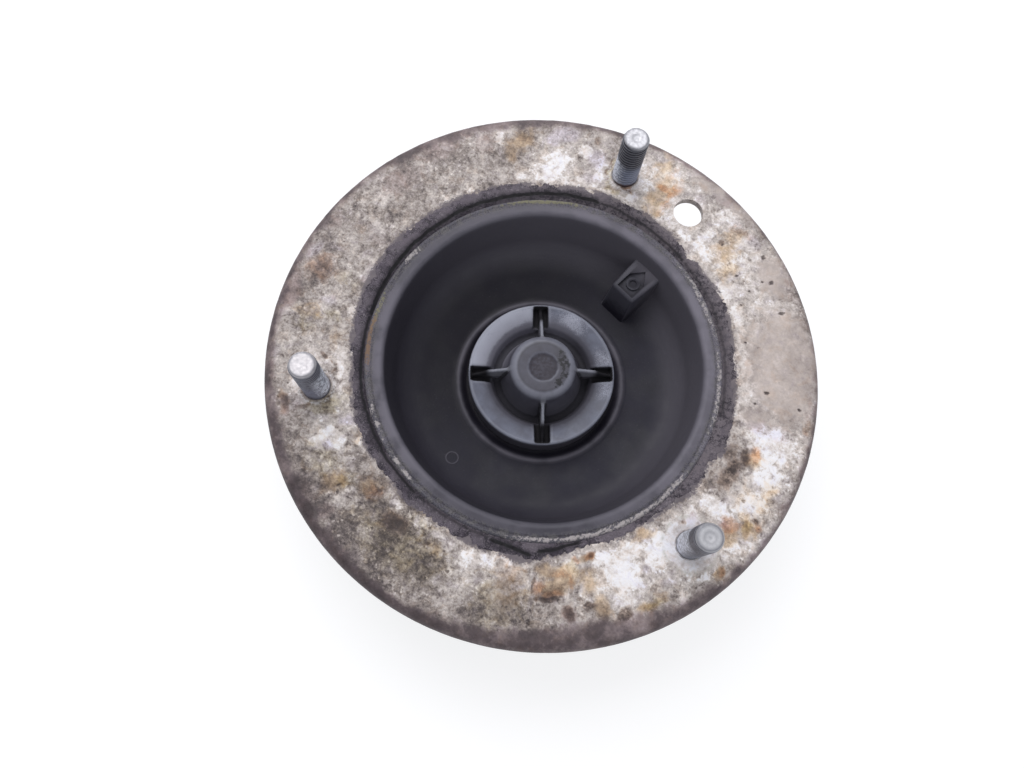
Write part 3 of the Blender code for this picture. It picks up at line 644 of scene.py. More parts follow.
# Stains: angle in degrees, radius in mm, half size across and half size along the radius in mm, strength
flangeStains = {
    "bloom": [
        (2, 71, 5, 8, 1.0), (355, 73, 5, 6, 0.75), (341, 65, 2.6, 5.5, 1.0), (347, 73, 6, 5, 0.75),
        (62, 65.5, 1.7, 4.4, 1.0), (59, 61, 5, 2.2, 0.8), (52, 66, 2.2, 6, 0.55),
        (66, 60.2, 3.2, 1.6, 0.8), (85.5, 60.5, 2.6, 2.4, 0.8), (83.5, 68, 1.3, 5, 0.55),
        (97, 65, 1.6, 8, 0.75), (102, 71.5, 2.3, 2.8, 1.0), (108.5, 66.5, 4.6, 3.6, 1.0),
        (111, 62, 4.6, 3.6, 1.0), (116, 63.2, 3, 2, 0.65), (118.5, 60.7, 3, 1.7, 0.7),
        (123.2, 75.2, 1.4, 2.3, 1.0), (133.5, 61, 3.2, 1.7, 0.8), (142, 60.2, 2.3, 1.5, 0.75),
        (161, 62, 2.5, 1.6, 0.5), (188.3, 59.2, 1.6, 1.8, 0.95), (190.2, 63, 0.8, 1.1, 0.9),
        (201, 60.5, 3.4, 3, 0.8), (206, 59.8, 3.4, 2, 0.9), (203.2, 62.6, 2.2, 2, 0.9),
        (211.5, 60.5, 2.2, 2.2, 0.65), (209.5, 73.4, 2.6, 1.3, 0.9), (224.0, 70.0, 2.4, 1.8, 2.4),
        (222.6, 67.6, 1.6, 1.6, 1.2), (223.6, 65.0, 3.2, 1.9, 2.0), (225.2, 63.2, 1.8, 1.4, 1.8),
        (227.2, 58.9, 1.0, 0.8, 1.4), (237.8, 71.3, 1.2, 2.2, 0.8), (238, 66.5, 1.0, 1.7, 0.75),
        (242.5, 67.5, 0.9, 1.6, 0.75), (248, 59.4, 3, 1.1, 0.75), (256, 59.3, 5, 1.5, 0.75),
        (262, 59.2, 3, 1.4, 0.8), (271, 61.5, 2, 3.4, 0.8), (268, 66, 2.4, 3, 0.55),
        (277, 60.6, 2.5, 2, 0.75), (282, 58.9, 2.2, 1.5, 0.75), (312, 64, 5.5, 6.5, 1.0),
        (308.5, 60, 3, 3, 1.0), (316, 60, 4.5, 3.5, 1.0), (321, 64, 4, 5, 0.85), (310, 71.5, 3, 3.5, 0.9),
        (313.5, 69, 2.6, 3, 0.95), (324, 61.6, 3, 4, 0.95), (329, 59.6, 4, 2, 0.8),
        (336, 60.5, 3, 2.6, 0.85), (328, 76.4, 3.4, 1.4, 0.7), (322.3, 77.4, 2.4, 1.7, 0.85),
        (337, 76, 2.4, 2.0, 0.6), (302, 69.4, 2, 1.6, 0.75), (341, 64.2, 2.6, 4.2, 1.7),
        (334.5, 62.2, 2.6, 1.6, 1.3),
    ],
    "cream": [
        (7, 59.5, 3, 2.2, 0.8), (14, 60, 4.5, 2.4, 0.9), (21, 60.3, 4, 2.4, 0.9), (28, 59, 3, 1.8, 0.8),
        (33, 59.6, 4, 2.0, 0.9), (38, 60.5, 3.2, 2.4, 0.9), (46, 61, 4.4, 4.2, 0.95),
        (50, 70, 3.4, 7, 0.7), (55, 74, 4, 4, 0.8), (60, 76, 4, 2.4, 0.6), (44, 66.5, 3, 3.5, 0.6),
        (64, 74, 3.4, 3.5, 0.65), (351, 71, 7, 6, 0.9), (345, 68, 4, 4, 0.8), (358, 73, 4, 6, 0.8),
        (80, 73, 3, 6, 0.6), (72, 60, 3, 2, 0.7), (106, 60.3, 3.4, 1.8, 0.7), (101, 61.5, 2.4, 2.2, 0.7),
        (126, 60.6, 3, 1.8, 0.6), (158, 68, 2.2, 7, 0.45), (162.5, 70, 2.4, 6, 0.5), (172, 61, 3, 2, 0.5),
        (180, 61.5, 3, 2, 0.5), (185, 62.5, 3, 3, 0.5), (206, 69, 6, 5.5, 0.6), (214, 61.3, 3, 2.8, 0.6),
        (218, 75, 3, 2.2, 0.45), (227, 64, 2.4, 4, 0.55), (243, 59.6, 3, 1.8, 0.6),
        (252, 61, 4, 2.2, 0.6), (264, 63, 3, 3.4, 0.65), (273, 60, 5, 3, 0.7), (258.5, 77.2, 3, 0.9, 0.7),
        (271.5, 76.8, 1.2, 1.2, 0.7), (296, 67.7, 3.4, 1.0, 0.6), (299, 60, 2.2, 3.4, 0.6),
        (301.6, 66.5, 1.6, 3.4, 0.75), (330, 70, 8.5, 7.5, 0.7), (334, 74, 4, 3, 0.6),
        (351.5, 60.4, 2.2, 1.6, 0.9), (352, 59.3, 1.2, 1.0, 0.7), (345, 60.8, 0.9, 1.2, 0.6),
    ],
    "tan": [
        (50.5, 64, 3, 4.5, 0.75), (55, 66.5, 3.5, 5, 0.8), (57.5, 73, 3.2, 4, 0.7), (79, 66, 3.6, 9, 0.9),
        (82, 75.5, 2.8, 4, 0.8), (77, 60.5, 2.2, 3, 0.85), (118, 73.5, 3.6, 3.6, 1.0),
        (121, 70, 2.6, 4, 0.8), (115.5, 77, 2.4, 2, 0.6), (191, 72, 3, 5, 0.6), (212, 77, 4, 2, 0.4),
        (234, 70, 3, 4.6, 0.9), (240, 62, 3.8, 3.6, 0.85), (297, 62.5, 4.4, 3.7, 1.0),
        (293, 60.7, 3.6, 2.2, 1.0), (294, 65.6, 4, 2.4, 1.0), (305, 72, 2.6, 3.6, 0.85),
        (303, 64.5, 2.4, 4.4, 0.8), (304, 57.8, 2.4, 1.3, 0.95), (321, 57.7, 3.8, 1.6, 0.95),
        (314.5, 75.5, 3.6, 1.9, 0.85), (318, 74.4, 2.6, 1.6, 0.7), (331, 77.8, 2.4, 1.8, 0.95),
        (342, 75.6, 3.4, 2.2, 0.95), (357, 67, 2.4, 2.6, 0.85), (9, 79.3, 2.4, 2.0, 0.5),
        (338, 73, 3, 3, 0.9), (344, 73, 2.4, 2.4, 0.7), (350, 75, 7, 4, 0.5), (348, 70, 4, 3, 0.45),
        (284, 63, 5, 4, 0.5), (287, 68, 4, 4, 0.4), (250, 66, 3, 3, 0.5), (262, 63, 4, 2.4, 0.5),
        (226, 58.6, 2.4, 1.4, 0.4), (196, 62, 3, 4, 0.4),
    ],
    "rust": [
        (79.2, 68.8, 2.0, 1.6, 1.0), (76.6, 68.2, 1.2, 1.2, 0.7), (76, 64, 1.6, 4, 0.6),
        (76, 71, 2.0, 3, 0.6), (79, 75, 1.6, 3, 0.45), (179.6, 73.2, 5.2, 4.2, 0.75),
        (290.8, 65.4, 1.4, 2.6, 0.9), (294, 67.2, 3.2, 1.2, 0.9), (340, 70.6, 2.6, 3.0, 1.2),
        (300.8, 57.9, 1.1, 0.9, 0.9), (298.5, 64.5, 1.0, 3, 0.45), (241.5, 62.5, 2, 2.4, 0.55),
        (358.4, 66.8, 2.2, 1.8, 0.8), (88.6, 63.4, 2.6, 1.2, 1.0), (304.8, 57.6, 1.7, 1.3, 0.9),
        (343.5, 77, 1.2, 1.4, 0.6), (295.5, 62, 2.0, 1.5, 0.4), (331.5, 78.2, 2.2, 1.4, 0.5),
    ],
    "mauve": [
        (187, 78.6, 6.5, 2.4, 1.0), (213.5, 76.6, 3.6, 1.6, 0.8), (251, 63.6, 4.6, 3.2, 0.9),
        (238.5, 76, 3.2, 2.8, 0.7), (150, 74, 8, 5, 0.55), (138, 77, 8, 4, 0.6), (127, 75, 4, 4, 0.5),
        (232, 78, 6, 3, 0.6), (205, 80, 8, 1.2, 0.5), (243, 62.5, 1.6, 3, 0.6),
        (339.2, 69.4, 1.8, 2.4, 0.9), (283, 66, 5, 9, 0.5), (166, 63, 2, 4, 0.4),
        (297.8, 72.6, 2.2, 2.6, 0.8), (168, 78, 5, 2.4, 0.5), (10, 79.4, 8, 1.6, 0.4),
        (40, 79.6, 9, 1.4, 0.35),
    ],
    "brown": [
        (94.6, 66.8, 0.6, 4.4, 0.9), (203.6, 62.0, 1.4, 0.5, 0.8), (206.5, 62.2, 1.2, 0.5, 0.8),
        (88, 62.6, 2.6, 0.9, 0.9), (92, 61.2, 3.6, 1.2, 0.55), (289.6, 64.5, 0.9, 2.4, 0.9),
        (305.3, 57.5, 1.3, 1.0, 1.0), (297.8, 72, 1.7, 2.3, 1.0), (309.5, 75.3, 2.1, 1.7, 1.0),
        (302.5, 71.4, 2.4, 0.9, 0.8), (235.4, 69, 0.45, 2.2, 0.9), (350.5, 62.6, 5.4, 3.0, 0.95),
        (346, 59.4, 3.0, 2, 0.45), (356.5, 64.4, 3, 1.8, 0.85), (356, 60, 4, 2, 0.6),
        (344.6, 76, 1.0, 1.0, 0.85), (186.5, 76.5, 2.4, 2, 0.5), (202, 64.9, 0.8, 1.0, 1.0),
        (212.7, 76, 2.4, 1.7, 0.65), (250, 64, 2.6, 2.6, 0.3), (332.4, 61.3, 0.7, 0.7, 1.0),
        (99, 75.7, 1.6, 2.4, 0.6), (58, 68, 0.9, 1.5, 0.8), (214.5, 71, 1.0, 2.4, 0.6),
        (237, 61, 1.0, 3, 0.5), (242.5, 60, 0.5, 4, 0.6), (166, 70, 2.5, 5, 0.4), (245, 68, 3, 4, 0.25),
        (293, 68.3, 5, 0.8, 0.8), (204.7, 61.6, 0.7, 0.6, 0.9), (260.5, 63, 1.0, 1.0, 0.8),
        (103.6, 60.4, 1.0, 0.7, 0.7), (95.5, 58.8, 2.5, 0.6, 0.5),
    ],
    "lilac": [
        (54, 76.5, 3.2, 2.6, 0.6), (59, 75, 3, 3, 0.5), (70, 73.4, 3, 2, 0.5), (98.5, 69.5, 3.2, 4, 0.85),
        (99, 62.5, 3, 3, 0.6), (107, 76.5, 5, 3, 0.95), (110, 74.5, 3, 2.5, 0.8),
        (176, 77.5, 4.5, 1.5, 0.75), (173.5, 73, 1.3, 4, 0.6), (187, 67, 2, 3.2, 0.65),
        (176, 59.5, 4, 2, 0.6), (220.7, 60, 1.5, 3, 0.85), (225.3, 67.2, 1.7, 1.8, 0.95),
        (213, 73.4, 3, 3, 0.5), (5, 68, 2.4, 8, 0.6), (352, 78, 6, 1.5, 0.4), (317.5, 66, 1.4, 1.6, 0.75),
        (321, 72, 2.2, 1.4, 0.6), (164, 65, 2, 6, 0.4), (66, 78, 5, 1.8, 0.4), (335, 62, 2.5, 1.5, 0.5),
    ],
    "olive": [
        (255, 67, 17, 9, 0.62), (282, 70, 9, 9, 0.5), (228, 70, 7, 6, 0.45), (193, 72, 4, 4, 0.45),
        (93.9, 66.5, 0.9, 4.8, 1.0), (93, 61.3, 1.6, 1.6, 0.7), (215, 65, 3.4, 6, 0.7),
        (205, 72.5, 2.6, 2, 0.5), (191, 65, 2.2, 4, 0.55), (316, 75.3, 3.4, 1.7, 0.8),
        (342, 75, 2.2, 1.6, 0.6), (180, 64, 3, 4, 0.4), (235, 67.5, 2.6, 4, 0.6),
        (90.5, 60.3, 3, 1.5, 0.5), (300, 60.5, 1.8, 3, 0.4),
    ],
    "pit": [
        (12, 76.5, 0.5, 0.9, 0.9), (14.9, 66.4, 0.6, 1.1, 1.0), (35.3, 74, 0.65, 1.2, 1.0),
        (43.3, 74.6, 0.55, 1.1, 0.9), (44.2, 72, 0.5, 0.6, 0.8), (49.6, 76.2, 0.65, 1.0, 1.0),
        (50.2, 71.8, 0.45, 1.0, 0.9), (48.3, 65.8, 0.5, 0.9, 0.8), (48.6, 67, 0.5, 0.5, 0.8),
        (27.4, 64.6, 0.45, 0.8, 0.6), (11.5, 63, 0.5, 0.5, 0.9), (36.8, 63.5, 0.45, 0.5, 0.7),
        (40, 63, 0.5, 0.4, 0.8), (43, 67, 0.4, 0.6, 0.8), (57.5, 67.8, 0.6, 0.9, 0.7),
        (52.5, 66, 0.5, 0.7, 0.7), (268.5, 66.8, 0.55, 0.7, 1.0), (346.8, 69.8, 0.5, 0.8, 0.9),
        (223, 56.9, 0.5, 0.5, 0.8), (29, 61, 0.4, 0.5, 0.8), (53, 76, 0.4, 0.5, 0.7),
        (18, 70, 0.35, 0.4, 0.5), (24, 66, 0.35, 0.4, 0.5), (31, 78, 0.4, 0.4, 0.6),
        (208.5, 75, 0.5, 0.5, 0.7),
    ],
    "smooth": [(22, 71, 21, 13, 1.0), (44, 76, 9, 6, 0.9), (68, 79, 22, 3.5, 0.7), (8, 64, 5, 6, 0.8)],
}
# Where the dark outer zone starts: angle, radius in mm
darkZonePath = [
    (0, 81.4), (30, 82.2), (60, 81.6), (90, 80.4), (120, 79.4), (135, 79.0), (150, 80.0), (180, 80.6),
    (200, 80.6), (212, 79.4), (225, 79.2), (240, 78.8), (250, 78.8), (262, 80.0), (275, 79.2),
    (285, 77.8), (292, 76.4), (298, 76.0), (304, 75.9), (310, 76.8), (318, 78.4), (325, 79.6),
    (335, 80.8), (345, 81.4), (353, 81.2),
]
# The film's outer edge: angle, radius in mm
coatEdgePath = [
    (0, 57.6), (8, 56.9), (16, 56.5), (26, 56.6), (33, 56.7), (40, 57.8), (47, 57.6), (53, 56.2),
    (57, 56.8), (60, 55.6), (63, 57.1), (67, 57.7), (73, 57.0), (80, 57.8), (86, 57.4), (93, 57.9),
    (100, 58.0), (108, 57.6), (116, 58.0), (122, 58.7), (132, 58.6), (145, 58.9), (158, 58.8),
    (170, 58.6), (178, 58.4), (186, 57.7), (192, 57.4), (200, 57.0), (205, 55.9), (209, 56.6),
    (217, 57.3), (228, 57.2), (238, 56.7), (248, 56.8), (256, 56.6), (266, 56.8), (274, 57.2),
    (281, 57.3), (286, 58.4), (289, 58.3), (293, 56.4), (299, 55.5), (305, 54.7), (311, 55.6),
    (318, 54.9), (326, 54.8), (334, 55.2), (340, 56.8), (345, 56.1), (350, 56.4), (356, 58.4),
]
# Broad lighter (above 0) and darker (below 0) areas: angle, radius, half size across and along, strength
toneSpots = [
    (15, 68, 17, 11, 0.40), (45, 66, 19, 12, 0.68), (78, 67, 13, 12, 0.95), (104, 65, 13, 8, 0.58),
    (128, 64, 9, 5, 0.08), (164, 62, 7, 3.4, -0.34), (222, 66, 9, 7, 0.3), (255, 75.6, 15, 3.4, -0.4),
    (340, 64, 4, 4, 0.4), (197, 66, 13, 8, 0.15), (165, 70, 6, 9, 0.12), (252, 66, 20, 12, -0.62),
    (284, 75, 15, 6, -0.40), (232, 77, 12, 6, -0.34), (138, 75, 14, 6, -0.24), (215, 64, 6, 5, 0.12),
    (314, 65, 17, 9, 0.72), (346, 71, 15, 10, 0.62), (352, 62, 7, 4, -0.25), (264, 60, 6, 2.6, 0.55),
    (279, 60.5, 8, 3, 0.5), (107, 77, 12, 3, -0.15), (180, 77, 16, 4, -0.12), (301, 78, 12, 3, -0.25),
    (271, 71, 4.5, 8, 0.42), (284, 66, 6, 7, -0.1),
]


def followPath(path, turn):
    angles = [math.radians(a) for a, _ in path]
    return np.interp(np.mod(turn, math.tau), angles, [value for _, value in path], period=math.tau)


def stainField(points, spots, warp):
    x, y = points[:, 0] + warp[0], points[:, 1] + warp[1]
    field = np.zeros(len(points))
    for angle, radius, across, along, strength in spots:
        turn = math.radians(angle)
        cx, cy = polar(radius * mm, turn)
        dx, dy = x - cx, y - cy
        near = (np.abs(dx) < 0.03) & (np.abs(dy) < 0.03)
        radial = (dx * math.cos(turn) + dy * math.sin(turn))[near] / (along * mm)
        level = (dy * math.cos(turn) - dx * math.sin(turn))[near] / (across * mm)
        value = strength * (1.0 - smoothStep(0.25, 1.55, np.sqrt(radial**2 + level**2)))
        field[near] = np.maximum(field[near], value)
    return field


def toneField(points):
    total = np.zeros(len(points))
    for angle, radius, across, along, strength in toneSpots:
        turn = math.radians(angle)
        cx, cy = polar(radius * mm, turn)
        dx, dy = points[:, 0] - cx, points[:, 1] - cy
        radial = (dx * math.cos(turn) + dy * math.sin(turn)) / (along * mm)
        level = (dy * math.cos(turn) - dx * math.sin(turn)) / (across * mm)
        total += strength * np.exp(-(radial**2 + level**2) * 0.8)
    return 0.5 + 0.5 * total


def makeFlange():
    s = flangeSettings
    top = mount["flangeTop"]
    cupFloor = top - s["cupDepth"] + s["sheet"]
    cupCorner = coneRadius(cupFloor, 0.0)
    upper = [
        (mount["flangeRadius"], top - s["rimDrop"], 0.0),
        (mount["flangeRadius"], top, s["rimBend"]),
        (mount["mouthRadius"], top, s["mouthBend"]),
        (cupCorner, cupFloor, s["cupBend"]),
        (cupCorner - s["cupLip"], cupFloor, 0.0),
    ]
    shown = lambda p: s["topStep"] if p.y > top - 5.5 * mm else s["plainStep"]
    upperPath = finer(roundedPath(upper, False, math.radians(6.0)), shown)
    lowerPath = finer(roundedPath(besidePath(upper, s["sheet"]), False, math.radians(16.0)), s["plainStep"])
    outline = upperPath + lowerPath[::-1]
    points, faces = spun(outline, s["sides"])
    plate = meshObject("flangePlate", points, faces)
    holes = [
        prismShape(
            circlePoints(s["studHole"], 40, polar(mount["studCircle"], a)), top - 9 * mm, top + 9 * mm
        )
        for a in mount["studAngles"]
    ]
    locating = polar(mount["studCircle"], s["locatingAngle"])
    holes.append(prismShape(circlePoints(s["locatingHole"], 48, locating), top - 9 * mm, top + 9 * mm))
    cut(plate, *holes, solver="MANIFOLD")
    creased(plate, 50.0)

    points, normals, radius, turn = measured(plate)
    flat = points * np.array([1.0, 1.0, 0.0])
    shake = [(layeredNoise(flat, 2.2 * mm, seed) - 0.5) * 2.6 * mm for seed in (3, 4)]
    fields = {kind: stainField(points, spots, shake if kind != "pit" else [v * 0.25 for v in shake])
              for kind, spots in flangeStains.items()}
    onTop = smoothStep(top - 5.0 * mm, top - 1.0 * mm, points[:, 2]) * smoothStep(-0.1, 0.35, normals[:, 2])
    onTop *= smoothStep(52.8 * mm, 54.5 * mm, radius)
    edge = followPath(darkZonePath, turn) * mm
    wander = (layeredNoise(flat, 3.0 * mm, 9) - 0.5) * 3.4 * mm
    fields["dark"] = smoothStep(-2.6 * mm, 1.8 * mm, radius + wander - edge)
    fields["tone"] = toneField(points)
    collar = np.full(len(points), 1.0)
    for angle in mount["studAngles"]:
        cx, cy = polar(mount["studCircle"], angle)
        collar = np.minimum(collar, np.hypot(points[:, 0] - cx, points[:, 1] - cy) / s["collarReach"])
    fields["collar"] = collar
    paint(plate, "stainsA", fields["bloom"], fields["cream"], fields["tan"])
    paint(plate, "stainsB", fields["rust"], fields["brown"], fields["lilac"])
    paint(plate, "stainsC", fields["olive"], fields["smooth"], fields["dark"])
    cx, cy = polar(mount["studCircle"], mount["studAngles"][2])
    coatReach = np.hypot(points[:, 0] - cx + shake[0] * 0.3, points[:, 1] - cy + shake[1] * 0.3)
    paint(plate, "stainsD", fields["pit"], fields["tone"], fields["collar"])
    paint(
        plate,
        "stainsE",
        smoothStep(9.5 * mm, 5.6 * mm, coatReach),
        smoothStep(0.7 * mm, 0.2 * mm, np.abs(coatReach - s["crustRing"])),
        fields["mauve"],
    )

    beyondFilm = radius - followPath(coatEdgePath, turn) * mm
    soot = (
        smoothStep(2.0 * mm, -0.3 * mm, beyondFilm)
        * smoothStep(0.3, 0.7, layeredNoise(flat, 4.0 * mm, 12) + 0.12)
    )
    paint(plate, "stainsF", soot)
    crust = layeredNoise(flat, 1.1 * mm, 21)
    lumps = layeredNoise(flat, 2.6 * mm, 22)
    rise = fields["bloom"] * s["bloomHeight"] * smoothStep(0.3, 0.65, crust)
    rise += fields["cream"] * s["creamHeight"] * smoothStep(0.3, 0.7, lumps)
    rise += (lumps - 0.5 + 0.7 * (crust - 0.5)) * s["lumpHeight"] * (1.0 - 0.85 * fields["smooth"])
    rise -= fields["pit"] * s["pitDepth"] + smoothStep(0.35, 0.8, fields["brown"]) * s["brownDepth"]
    rise -= s["lumpHeight"] * 0.6 * smoothStep(s["rimStart"], 81.0 * mm, radius)
    rise = np.where(radius > s["rimStart"], np.minimum(rise, 0.0), rise) * onTop
    rise = rise * smoothStep(0.36, 0.5, fields["collar"])
    wornRim = (layeredNoise(points, 1.6 * mm, 31) - 1.0) * s["rimWear"]
    wornRim *= smoothStep(80.0 * mm, 82.0 * mm, radius)
    setPoints(plate, points + normals * (rise + wornRim)[:, None])
    return plate


def makeFlangeMaterial():
    material, tree, shader, coords = newMaterial("corrodedZincSheet", roughness=0.75, metallic=0.0)
    cloud = noiseNode(tree, coords, 7.0 * mm, 6.0, 0.6)
    blotch = noiseNode(tree, coords, 2.0 * mm, 8.0, 0.7, 0.3)
    crumbs = noiseNode(tree, coords, 0.6 * mm, 4.0, 0.65)
    hueNoise = noiseNode(tree, coords, 3.6 * mm, 7.0, 0.66, 0.6)
    a, b, c, d, e, f = (paintedField(tree, f"stains{letter}") for letter in "ABCDEF")

    def stain(field, noise, ragged, soft, cover):
        return stained(tree, field, noise, ragged, soft, cover)["Mask"]

    bloom = stain(a[0], blotch, 2.0, 0.34, 1.0)
    cream = stain(a[1], blotch, 2.4, 0.34, 1.0)
    tan = stain(a[2], hueNoise, 1.5, 0.45, 0.9)
    rust = stain(b[0], hueNoise, 1.5, 0.45, 0.9)
    brown = stain(b[1], blotch, 1.8, 0.34, 1.0)
    lilac = stain(b[2], hueNoise, 1.6, 0.40, 0.9)
    mauve = stain(e[2], hueNoise, 1.3, 0.45, 0.9)
    olive = stain(c[0], hueNoise, 1.6, 0.40, 0.9)
    dark = stain(c[2], blotch, 1.8, 0.42, 1.0)
    pit = stain(d[0], crumbs, 0.8, 0.25, 1.0)
    calm = fade(tree, plus(tree, c[1], times(tree, minus(tree, hueNoise, 0.5), 1.2)), 0.3, 0.8)
    coat = e[0]
    specks = specksAt(tree, coords, 1.0 * mm, 6.0 * mm)

    # One level from 0 (bare and black) to 1 (white bloom) that every layer pushes up or down
    level = times(tree, minus(tree, blotch, 0.5), 1.15)
    level = timesPlus(tree, minus(tree, crumbs, 0.5), 0.62, level)
    level = timesPlus(tree, specks["Light"], 0.24, level)
    level = timesPlus(tree, specks["Dark"], -0.15, level)
    still = times(tree, calm, 0.74)
    shares = [(coat, 0.7), (dark, 0.75), (cream, 0.4), (bloom, 0.3), (mauve, 0.55), (tan, 0.3), (rust, 0.4)]
    for mask, share in shares:
        still = larger(tree, still, times(tree, mask, share))
    level = times(tree, level, minus(tree, 1.0, still))
    clouds = times(tree, minus(tree, cloud, 0.5), timesPlus(tree, calm, -0.5, 0.95))
    level = plus(tree, level, clouds)
    pushes = [
        (minus(tree, d[1], 0.5), 0.60),
        (bloom, 0.26),
        (cream, 0.14),
        (calm, -0.02),
        (coat, 0.16),
        (lilac, 0.09),
        (tan, -0.01),
        (rust, -0.05),
        (brown, -0.29),
        (olive, -0.04),
        (dark, -0.24),
        (pit, -0.5),
        (mauve, -0.08),
    ]
    for mask, amount in pushes:
        level = timesPlus(tree, mask, amount, level)
    level = plus(tree, level, 0.495)
    ramp = put(tree, "ShaderNodeValToRGB", {0: level})
    stops = [
        (0.0, tint(56, 47, 47)),
        (0.20, tint(88, 78, 77)),
        (0.38, tint(134, 123, 118)),
        (0.52, tint(166, 156, 152)),
        (0.64, tint(190, 180, 175)),
        (0.78, tint(214, 204, 200)),
        (0.90, tint(230, 224, 223)),
        (1.0, tint(238, 235, 238)),
    ]
    while len(ramp.color_ramp.elements) < len(stops):
        ramp.color_ramp.elements.new(0.5)
    for element, (position, tone) in zip(ramp.color_ramp.elements, stops):
        element.position = position
        element.color = tone
    colour = ramp.outputs["Color"]
    tints = [
        (tan, tint(247, 227, 197)),
        (rust, tint(246, 211, 186)),
        (olive, tint(240, 236, 208)),
        (lilac, tint(241, 240, 255)),
        (brown, tint(244, 232, 222)),
        (coat, tint(242, 243, 247)),
        (calm, tint(247, 243, 242)),
        (mauve, tint(250, 238, 242)),
        (dark, tint(248, 240, 250)),
        (fade(tree, hueNoise, 0.5, 0.66, 0.0, 0.5), tint(250, 238, 226)),
        (fade(tree, hueNoise, 0.48, 0.34, 0.0, 0.6), tint(238, 236, 246)),
    ]
    colour = layered(tree, colour, tints, "MULTIPLY")
    ring = times(tree, fade(tree, d[2], 0.33, 0.352), fade(tree, d[2], 0.385, 0.362))
    halo = times(tree, fade(tree, d[2], 0.385, 0.41), fade(tree, d[2], 0.5, 0.42))
    colour = layered(tree, colour, [
        (times(tree, e[1], fade(tree, blotch, 0.42, 0.6, 0.0, 0.5)), tint(150, 146, 128)),
        (times(tree, ring, fade(tree, blotch, 0.4, 0.6, 0.15, 0.7)), tint(84, 76, 74)),
        (times(tree, halo, fade(tree, crumbs, 0.4, 0.6, 0.0, 0.7)), tint(206, 203, 206)),
        (stain(f[0], crumbs, 2.2, 0.2, 0.85), tint(88, 80, 88)),
    ])
    rough = minus(tree, fade(tree, level, 0.3, 0.9, 0.6, 0.9), times(tree, calm, 0.12))
    height = timesPlus(tree, crumbs, 0.45, level)
    dress(tree, shader, colour, rough, height, 0.22 * mm, 0.85)
    return material


flangePlate = makeFlange()
finish(flangePlate, makeFlangeMaterial(), "mount", "flange_plate", "flange_plate")
print("flange plate", len(flangePlate.data.polygons))


# Black film of bonding coat that runs out over the flange, with a torn edge

coatSettings = {
    "innerRadius": 52.7 * mm,
    "thickness": 0.12 * mm,
    "sides": 1300,
    "rows": 16,
    "sunk": 0.05 * mm,
    "crackDepth": 0.05 * mm,
    "crackWidth": 0.8 * mm,
    "skirtWidth": 2.2 * mm,
}
# Dark seams in the film: strength, then angle in degrees and radius in mm along each
filmCracks = [
    (1.0, (94, 54.9), (120, 54.8), (140, 54.6), (160, 54.4), (175, 54.0), (188, 53.7)),
    (0.7, (188, 53.7), (200, 53.9), (215, 54.1), (235, 54.0), (250, 53.8)),
    (0.5, (250, 53.8), (262, 53.8), (276, 53.9)),
    (0.9, (276, 54.3), (281, 55.0), (285, 55.8), (288.5, 56.8)),
    (0.8, (290, 55.6), (294, 55.0), (298, 54.3), (303, 53.5)),
    (0.6, (60, 54.2), (75, 54.5), (94, 54.9)),
    (0.45, (5, 53.9), (30, 54.0), (60, 54.2)),
]


def seamField(points, seams, width):
    # Strength of the nearest seam at each point
    field = np.zeros(len(points))
    for strength, *knots in seams:
        angles = np.radians(np.array([knot[0] for knot in knots]))
        turn = np.mod(np.arctan2(points[:, 1], points[:, 0]), math.tau)
        middle = np.interp(turn, angles, [knot[1] * mm for knot in knots])
        away = np.abs(np.hypot(points[:, 0], points[:, 1]) - middle)
        inside = (
            smoothStep(angles[0] - 0.02, angles[0] + 0.02, turn)
            * smoothStep(angles[-1] + 0.02, angles[-1] - 0.02, turn)
        )
        field = np.maximum(field, strength * inside * smoothStep(width, width * 0.25, away))
    return field


